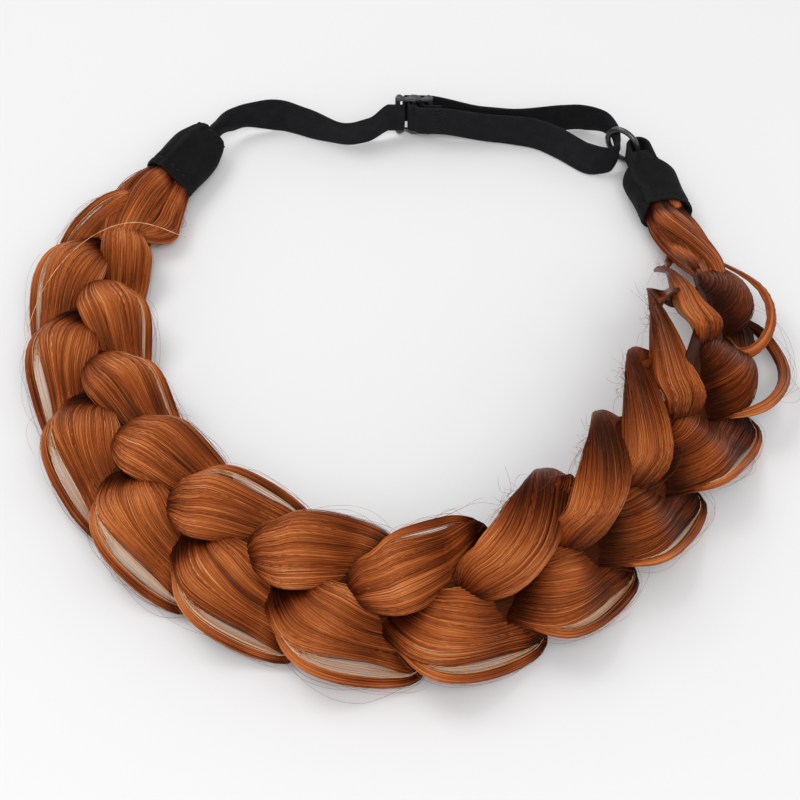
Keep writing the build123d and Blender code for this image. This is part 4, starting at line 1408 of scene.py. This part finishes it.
# Each row is a bend of the strap: how far along the straight line from the left sleeve to the ring
# it is, as a share, how far beside that line in strap widths, its lean in degrees, how much of its
# width it keeps, and the height of its middle.
LEFT_RUN = [
    (0.055, 0.82, 10, 0.75, strap_z + 0.0015),
    (0.150, 1.16, 14, 1.00, strap_z),
    (0.225, 0.78, 8, 1.00, strap_z),
    (0.325, 0.27, -10, 1.00, strap_z),
    (0.380, 0.52, -6, 1.00, strap_z),
]
BACK_RUN = [
    (0.660, 1.00, 6, 1.00, strap_z),
    (0.745, 0.93, 3, 1.00, strap_z),
    (0.830, 1.14, 0, 1.00, strap_z),
    (0.910, 1.28, -4, 1.00, strap_z),
    (0.965, 0.88, 0, 0.80, ring_z),
]
FRONT_RUN = [
    (0.965, -0.55, -5, 0.90, strap_z),
    (0.915, -0.55, -12, 1.00, strap_z),
    (0.850, 0.08, -13, 1.00, strap_z),
    (0.790, 0.53, -10, 1.00, strap_z),
    (0.690, 0.68, -4, 1.00, strap_z),
]
slider_centre = strap_exit + chord * 0.489 + chord_side * (0.98 * strap_width)
bar_step = slider_bar + slider_window
close = slider_bar / 2 + fit_gap + strap_thickness / 2
behind = close + strap_thickness + fit_gap
THROUGH = [
    (-bar_step - 0.0032, -close),
    (-slider_window + 0.00025, -close),
    (-slider_window + 0.00025, behind),
    (bar_step, behind),
]
ROUND_MIDDLE = [
    (bar_step + 0.0025, -close - strap_thickness - fit_gap),
    (slider_bar, -close - strap_thickness - fit_gap),
    (0.0004, -close),
    (-close, -close),
    (-close, close),
    (close, close),
    (bar_step - slider_bar, -close),
    (bar_step + 0.0040, -close),
]


def strap_turns(gentle=0.030):
    """Every bend of the strap's middle line: its place, largest arc, lean, gather and height."""
    turns = []
    for depth in (sleeve_length - strap_tuck, sleeve_length + strap_straight):
        spot = left_mouth + left_axis * depth
        turns.append((spot[:2], gentle, exit_lean, strap_gather, spot[2]))

    def lie(rows):
        for along, bow, lean, gather, middle in rows:
            spot = strap_exit + chord * along + chord_side * (bow * strap_width)
            turns.append((spot[:2], gentle, lean, gather, middle))

    def by_slider(spots):
        for x, y in spots:
            spot = slider_centre + chord_way * x + chord_side * y
            turns.append((spot[:2], slider_turn, 0, 1, slider_z))

    lie(LEFT_RUN)
    by_slider(THROUGH)
    lie(BACK_RUN)
    for step in (0.55, -0.75):
        spot = ring_centre - ring_way * (0.38 * ring_radius) + chord_side * (step * ring_radius)
        turns.append((spot[:2], gentle, 0, ring_gather, ring_z))
    lie(FRONT_RUN)
    by_slider(ROUND_MIDDLE)
    return turns


def rounded_line(points, largest, share=0.47, bend_step=0.12, longest=0.0012):
    """Close places along straight runs joined by arcs, each as large as its runs allow."""
    line = [points[0]]
    for before, here, after, most in zip(points, points[1:], points[2:], largest[1:]):
        first, second = here - before, after - here
        reach = share * min(np.linalg.norm(first), np.linalg.norm(second))
        first, second = first / np.linalg.norm(first), second / np.linalg.norm(second)
        cross = first[0] * second[1] - first[1] * second[0]
        turned = math.acos(np.clip(first @ second, -1, 1))
        radius = min(most, reach / math.tan(max(turned, 0.02) / 2))
        start = here - first * radius * math.tan(turned / 2)
        side = np.array([-first[1], first[0]]) * math.copysign(1, cross)
        count = max(2, math.ceil(turned / bend_step) + 1)
        for part in np.linspace(0, turned, count):
            line.append(start + radius * (first * math.sin(part) + side * (1 - math.cos(part))))
    line.append(points[-1])
    line = np.array(line)
    steps = np.linalg.norm(np.diff(line, axis=0), axis=1)
    line = line[np.concatenate([[True], steps > 1e-7])]
    steps = np.linalg.norm(np.diff(line, axis=0), axis=1)
    walked = np.concatenate([[0], np.cumsum(steps)])
    filled = [np.linspace(a, b, math.ceil((b - a) / longest) + 1)[:-1] for a, b in zip(walked, walked[1:])]
    spots = np.concatenate(filled + [walked[-1:]])
    return spots, np.stack([np.interp(spots, walked, line[:, axis]) for axis in range(2)], -1)


turns = strap_turns()
travelled, line = rounded_line([turn[0] for turn in turns], [turn[1] for turn in turns])
keys = []
start = 0
for spot, largest, lean, gather, middle in turns:
    cost = np.linalg.norm(line[start:] - spot, axis=1) + 0.02 * (travelled[start:] - travelled[start])
    start += int(np.argmin(cost))
    keys.append((travelled[start], lean, gather, middle))
keys = np.array(keys)
i = np.clip(np.searchsorted(keys[:, 0], travelled, side="right") - 1, 0, len(keys) - 2)
t = np.clip((travelled - keys[i, 0]) / np.maximum(keys[i + 1, 0] - keys[i, 0], 1e-9), 0, 1)[:, None]
t = eased(t)
lean, gather, middle = (keys[i, 1:] * (1 - t) + keys[i + 1, 1:] * t).T
way = np.gradient(line, axis=0)
way /= np.linalg.norm(way, axis=1, keepdims=True)
side_way = np.stack([-way[:, 1], way[:, 0], 0 * lean], -1)
lean = np.radians(lean)[:, None]
wide_way = side_way * np.sin(lean) + up_way * np.cos(lean)
thick_way = side_way * np.cos(lean) - up_way * np.sin(lean)
strap_middle = np.concatenate([line, middle[:, None]], 1)
edge = math.tau * np.arange(36) / 36
across = np.sign(np.cos(edge)) * np.abs(np.cos(edge)) ** 0.42
through = np.sign(np.sin(edge)) * np.abs(np.sin(edge)) ** 0.70
bead = 0.90 + 0.16 * np.exp(-(((np.abs(across) - 0.90) / 0.07) ** 2))
bunched = np.clip((1 - gather) / 0.58, 0, 1)[:, None]
pleat = 0.0009 * bunched * np.cos(across * 2.0 * math.pi)
half_width = (strap_width / 2 * gather)[:, None, None]
rings = strap_middle[:, None] + wide_way[:, None] * (across[None, :, None] * half_width)
half_through = (through * bead)[None, :, None] * strap_thickness / 2
rings = rings + thick_way[:, None] * (half_through + pleat[..., None])
strap = loft("elastic_band", above_table(rings + to_frame))
belongs(strap, "elastic_strap")
flat = np.stack(np.broadcast_arrays((across * strap_width / 2)[None, :], travelled[:, None], 0.0), -1)
mark_loft(strap, "cloth_place", flat)
selvedge = np.clip((np.abs(across) - 0.86) / 0.1, 0, 1) * 0.8
mark_loft(strap, "cloth_wear", np.broadcast_to(selvedge, rings.shape[:2]).astype(float))
woven_elastic = cloth_material("woven_elastic", (0.0105, 0.0100, 0.0115), (0.0011, 0.0006), 0.00022, 0.16)
strap.data.materials.append(woven_elastic)
print("strap length", travelled[-1])

# The seam that holds the fold at the slider. It is a short box of black zigzag stitches through
# the two layers of elastic beside the slider's last bar.
seam_x = bar_step + 0.0031
seam_front = -close - 1.5 * strap_thickness - fit_gap - 0.00005
seam_rows = 13
seam_radius = 0.00016
paths = []
for k in range(seam_rows):
    high = slider_z + strap_width * (0.84 * (k + 0.5) / seam_rows - 0.42)
    share = np.linspace(0, 1, 7)[:, None]
    lean = 0.0007 if k % 2 == 0 else -0.0007
    spot = slider_centre * (1, 1, 0) + up_way * high + chord_way * seam_x
    stretch = chord_way * (share - 0.5) * 0.0022 + up_way * (share - 0.5) * lean
    lift = chord_side * (seam_front - 0.00022 * np.sin(math.pi * share) + 0.00008)
    paths.append(spot + stretch + lift)
seam = tubes("fold_seam", np.array(paths) + to_frame, np.full(seam_rows, seam_radius), sides=6)
mark(seam, "cloth_place", np.array([vertex.co for vertex in seam.data.vertices]))
mark(seam, "cloth_wear", np.full(len(seam.data.vertices), 0.6))
seam.data.materials.append(thread_cloth)
belongs(seam)

# The slider. It is one moulded slide of black glossy plastic with two windows and three bars. All
# its edges are round, and it bulges a little over each bar.
slider_corner = 0.0016
slider_round = 0.0007
rail_dip = 0.0011
bar_swell = 1.4


def gloss_material(name, colour, roughness, coat):
    """Black moulded or enamelled gloss: faint flow marks, dust and rubbed edges."""
    material, tree, shader = new_material(name)
    spot = tree.nodes.new("ShaderNodeTexCoord")
    cloudy = tree.nodes.new("ShaderNodeTexNoise")
    cloudy.inputs["Scale"].default_value = 420
    cloudy.inputs["Detail"].default_value = 4
    tree.links.new(spot.outputs["Object"], cloudy.inputs["Vector"])
    grain = tree.nodes.new("ShaderNodeTexNoise")
    grain.inputs["Scale"].default_value = 5200
    tree.links.new(spot.outputs["Object"], grain.inputs["Vector"])
    shape = tree.nodes.new("ShaderNodeNewGeometry")
    patchy = reckon(tree, "MULTIPLY", cloudy.outputs["Fac"], 0.3)
    worn = reckon(tree, "MULTIPLY_ADD", shape.outputs["Pointiness"], 1.6, patchy)
    pale = tuple(4 * part for part in colour)
    tree.links.new(ramp(tree, worn, [(0.85, colour), (1.05, pale)]), shader.inputs["Base Color"])
    rough = reckon(tree, "MULTIPLY_ADD", cloudy.outputs["Fac"], 0.22, roughness - 0.1)
    tree.links.new(rough, shader.inputs["Roughness"])
    raised(tree, shader, grain.outputs["Fac"], 0.00003, 0.3)
    shader.inputs["Coat Weight"].default_value = coat
    shader.inputs["Coat Roughness"].default_value = 0.15
    return material


xs = [-slider_length / 2, -slider_length / 2 + slider_bar, -bar_step / 2, -slider_bar / 2]
xs = xs + [-x for x in xs[::-1]]
zs = [-slider_height / 2, -slider_height / 2 + slider_rail]
zs = zs + [-z for z in zs[::-1]]
bm = bmesh.new()
corners = {}
for i, x in enumerate(xs):
    for j, z in enumerate(zs):
        dip = rail_dip if i in (2, 5) else 0
        z = z - math.copysign(dip, z) if j in (0, 3) else z
        for k in (0, 1):
            spot = slider_centre * (1, 1, 0) + up_way * (slider_z + z) + chord_way * x
            swell = (0.85 if i in (2, 5) else bar_swell) if j in (0, 3) else 1
            spot = spot + chord_side * (slider_bar * swell * (k - 0.5)) + to_frame
            corners[i, j, k] = bm.verts.new(spot)
solid = {(i, j) for i in range(7) for j in range(3)} - {(1, 1), (2, 1), (4, 1), (5, 1)}
WALLS = {
    (-1, 0): ((0, 1), (0, 0)),
    (1, 0): ((1, 0), (1, 1)),
    (0, -1): ((0, 0), (1, 0)),
    (0, 1): ((1, 1), (0, 1)),
}
for i, j in sorted(solid):
    bm.faces.new([corners[i + a, j + b, 0] for a, b in ((0, 0), (1, 0), (1, 1), (0, 1))])
    bm.faces.new([corners[i + a, j + b, 1] for a, b in ((0, 1), (1, 1), (1, 0), (0, 0))])
    for (di, dj), ((a, b), (c, d)) in WALLS.items():
        if (i + di, j + dj) not in solid:
            wall = [(c, d, 0), (a, b, 0), (a, b, 1), (c, d, 1)]
            bm.faces.new([corners[i + p, j + q, k] for p, q, k in wall])
bmesh.ops.recalc_face_normals(bm, faces=bm.faces)
front, behind_it = ({corners[i, j, k] for i in (0, 7) for j in (0, 3)} for k in (0, 1))
outer_corners = [edge for edge in bm.edges if front & set(edge.verts) and behind_it & set(edge.verts)]
bmesh.ops.bevel(bm, geom=outer_corners, offset=slider_corner, segments=5, profile=0.5, affect="EDGES")
sharp_angle = math.radians(40)
sharp = [edge for edge in bm.edges if len(edge.link_faces) == 2 and edge.calc_face_angle(0) > sharp_angle]
bmesh.ops.bevel(bm, geom=sharp, offset=slider_round, segments=4, profile=0.5, affect="EDGES")
slider_mesh = bpy.data.meshes.new("slide")
bm.to_mesh(slider_mesh)
bm.free()
slider_mesh.polygons.foreach_set("use_smooth", np.ones(len(slider_mesh.polygons), bool))
slide = bpy.data.objects.new("slide", slider_mesh)
bpy.context.scene.collection.objects.link(slide)
slide.data.materials.append(gloss_material("black_moulded_plastic", (0.010, 0.010, 0.011), 0.30, 0.6))
belongs(slide, "slider")

# The ring. It is round wire with a black enamel, closed with a small welded joint, and it stands on
# edge between the elastic and the sleeve's band.
ring_across = np.cross(ring_way, up_way)
round_it = math.tau * np.arange(120) / 120
weld = np.exp(-(((round_it - math.pi) / 0.05) ** 2))
wire = ring_wire_radius * (1 + 0.08 * weld)
tube = math.tau * np.arange(24) / 24
spoke = ring_way * np.cos(round_it)[:, None] + up_way * np.sin(round_it)[:, None]
middle = ring_centre * (1, 1, 0) + up_way * ring_z + ring_radius * spoke
points = middle[:, None] + wire[:, None, None] * (
    spoke[:, None] * np.cos(tube)[None, :, None] + ring_across * np.sin(tube)[None, :, None])
here = np.arange(120)[:, None] * 24 + np.arange(24)
beside = np.arange(120)[:, None] * 24 + (np.arange(24) + 1) % 24
quads = np.stack([here, beside, np.roll(beside, -1, axis=0), np.roll(here, -1, axis=0)], -1)
wire_ring = new_mesh("wire_ring", points.reshape(-1, 3) + to_frame, quads)
wire_ring.data.materials.append(gloss_material("black_enamel", (0.008, 0.008, 0.009), 0.22, 0.8))
belongs(wire_ring, "ring")

# The table and the light. The headband lies on a pale table in a bright room, with a broad soft
# light high at the left and behind, and a weaker one from the front.
table_size = 3.0
bpy.ops.mesh.primitive_plane_add(size=table_size)
table = bpy.context.object
table.name = "table"
table_finish, table_tree, table_shader = new_material("pale_table")
table_shader.inputs["Base Color"].default_value = (0.86, 0.86, 0.865, 1)
table_shader.inputs["Roughness"].default_value = 0.6
table.data.materials.append(table_finish)
table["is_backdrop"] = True

world = bpy.data.worlds.new("room")
bpy.context.scene.world = world
world.use_nodes = True
world.node_tree.nodes["Background"].inputs["Color"].default_value = (1, 1, 1, 1)
world.node_tree.nodes["Background"].inputs["Strength"].default_value = 0.60


def soft_light(name, spot, size, power):
    """A square soft light that points at the middle of the table."""
    data = bpy.data.lights.new(name, "AREA")
    data.size = size
    data.energy = power
    lamp = bpy.data.objects.new(name, data)
    lamp.location = spot
    lamp.rotation_euler = (-Vector(spot)).to_track_quat("-Z", "Y").to_euler()
    bpy.context.scene.collection.objects.link(lamp)


soft_light("window", (-0.9, 0.6, 1.5), 0.9, 9)
soft_light("fill", (0.2, -1.0, 1.3), 1.0, 11)

# The camera, where the photo was taken from: 50 degrees above the table, with a long lens.
camera_height = math.radians(50)
camera_distance = 0.65
pixels_per_metre = 3300
picture_width = 800
sensor_width = 36
aim = Vector((0, 0, 0.015)) + Vector(to_frame)
back = Vector((0, -math.cos(camera_height), math.sin(camera_height)))
camera_data = bpy.data.cameras.new("camera")
camera_data.sensor_width = sensor_width
camera_data.lens = sensor_width * pixels_per_metre * camera_distance / picture_width
camera = bpy.data.objects.new("camera", camera_data)
camera.location = aim + back * camera_distance
camera.rotation_euler = back.to_track_quat("Z", "Y").to_euler()
bpy.context.scene.collection.objects.link(camera)
bpy.context.scene.camera = camera
bpy.context.scene.view_settings.view_transform = "Standard"

seen_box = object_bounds()
sizes = {"cad": [list(corner) for corner in cad_box], "visual": [list(corner) for corner in seen_box]}
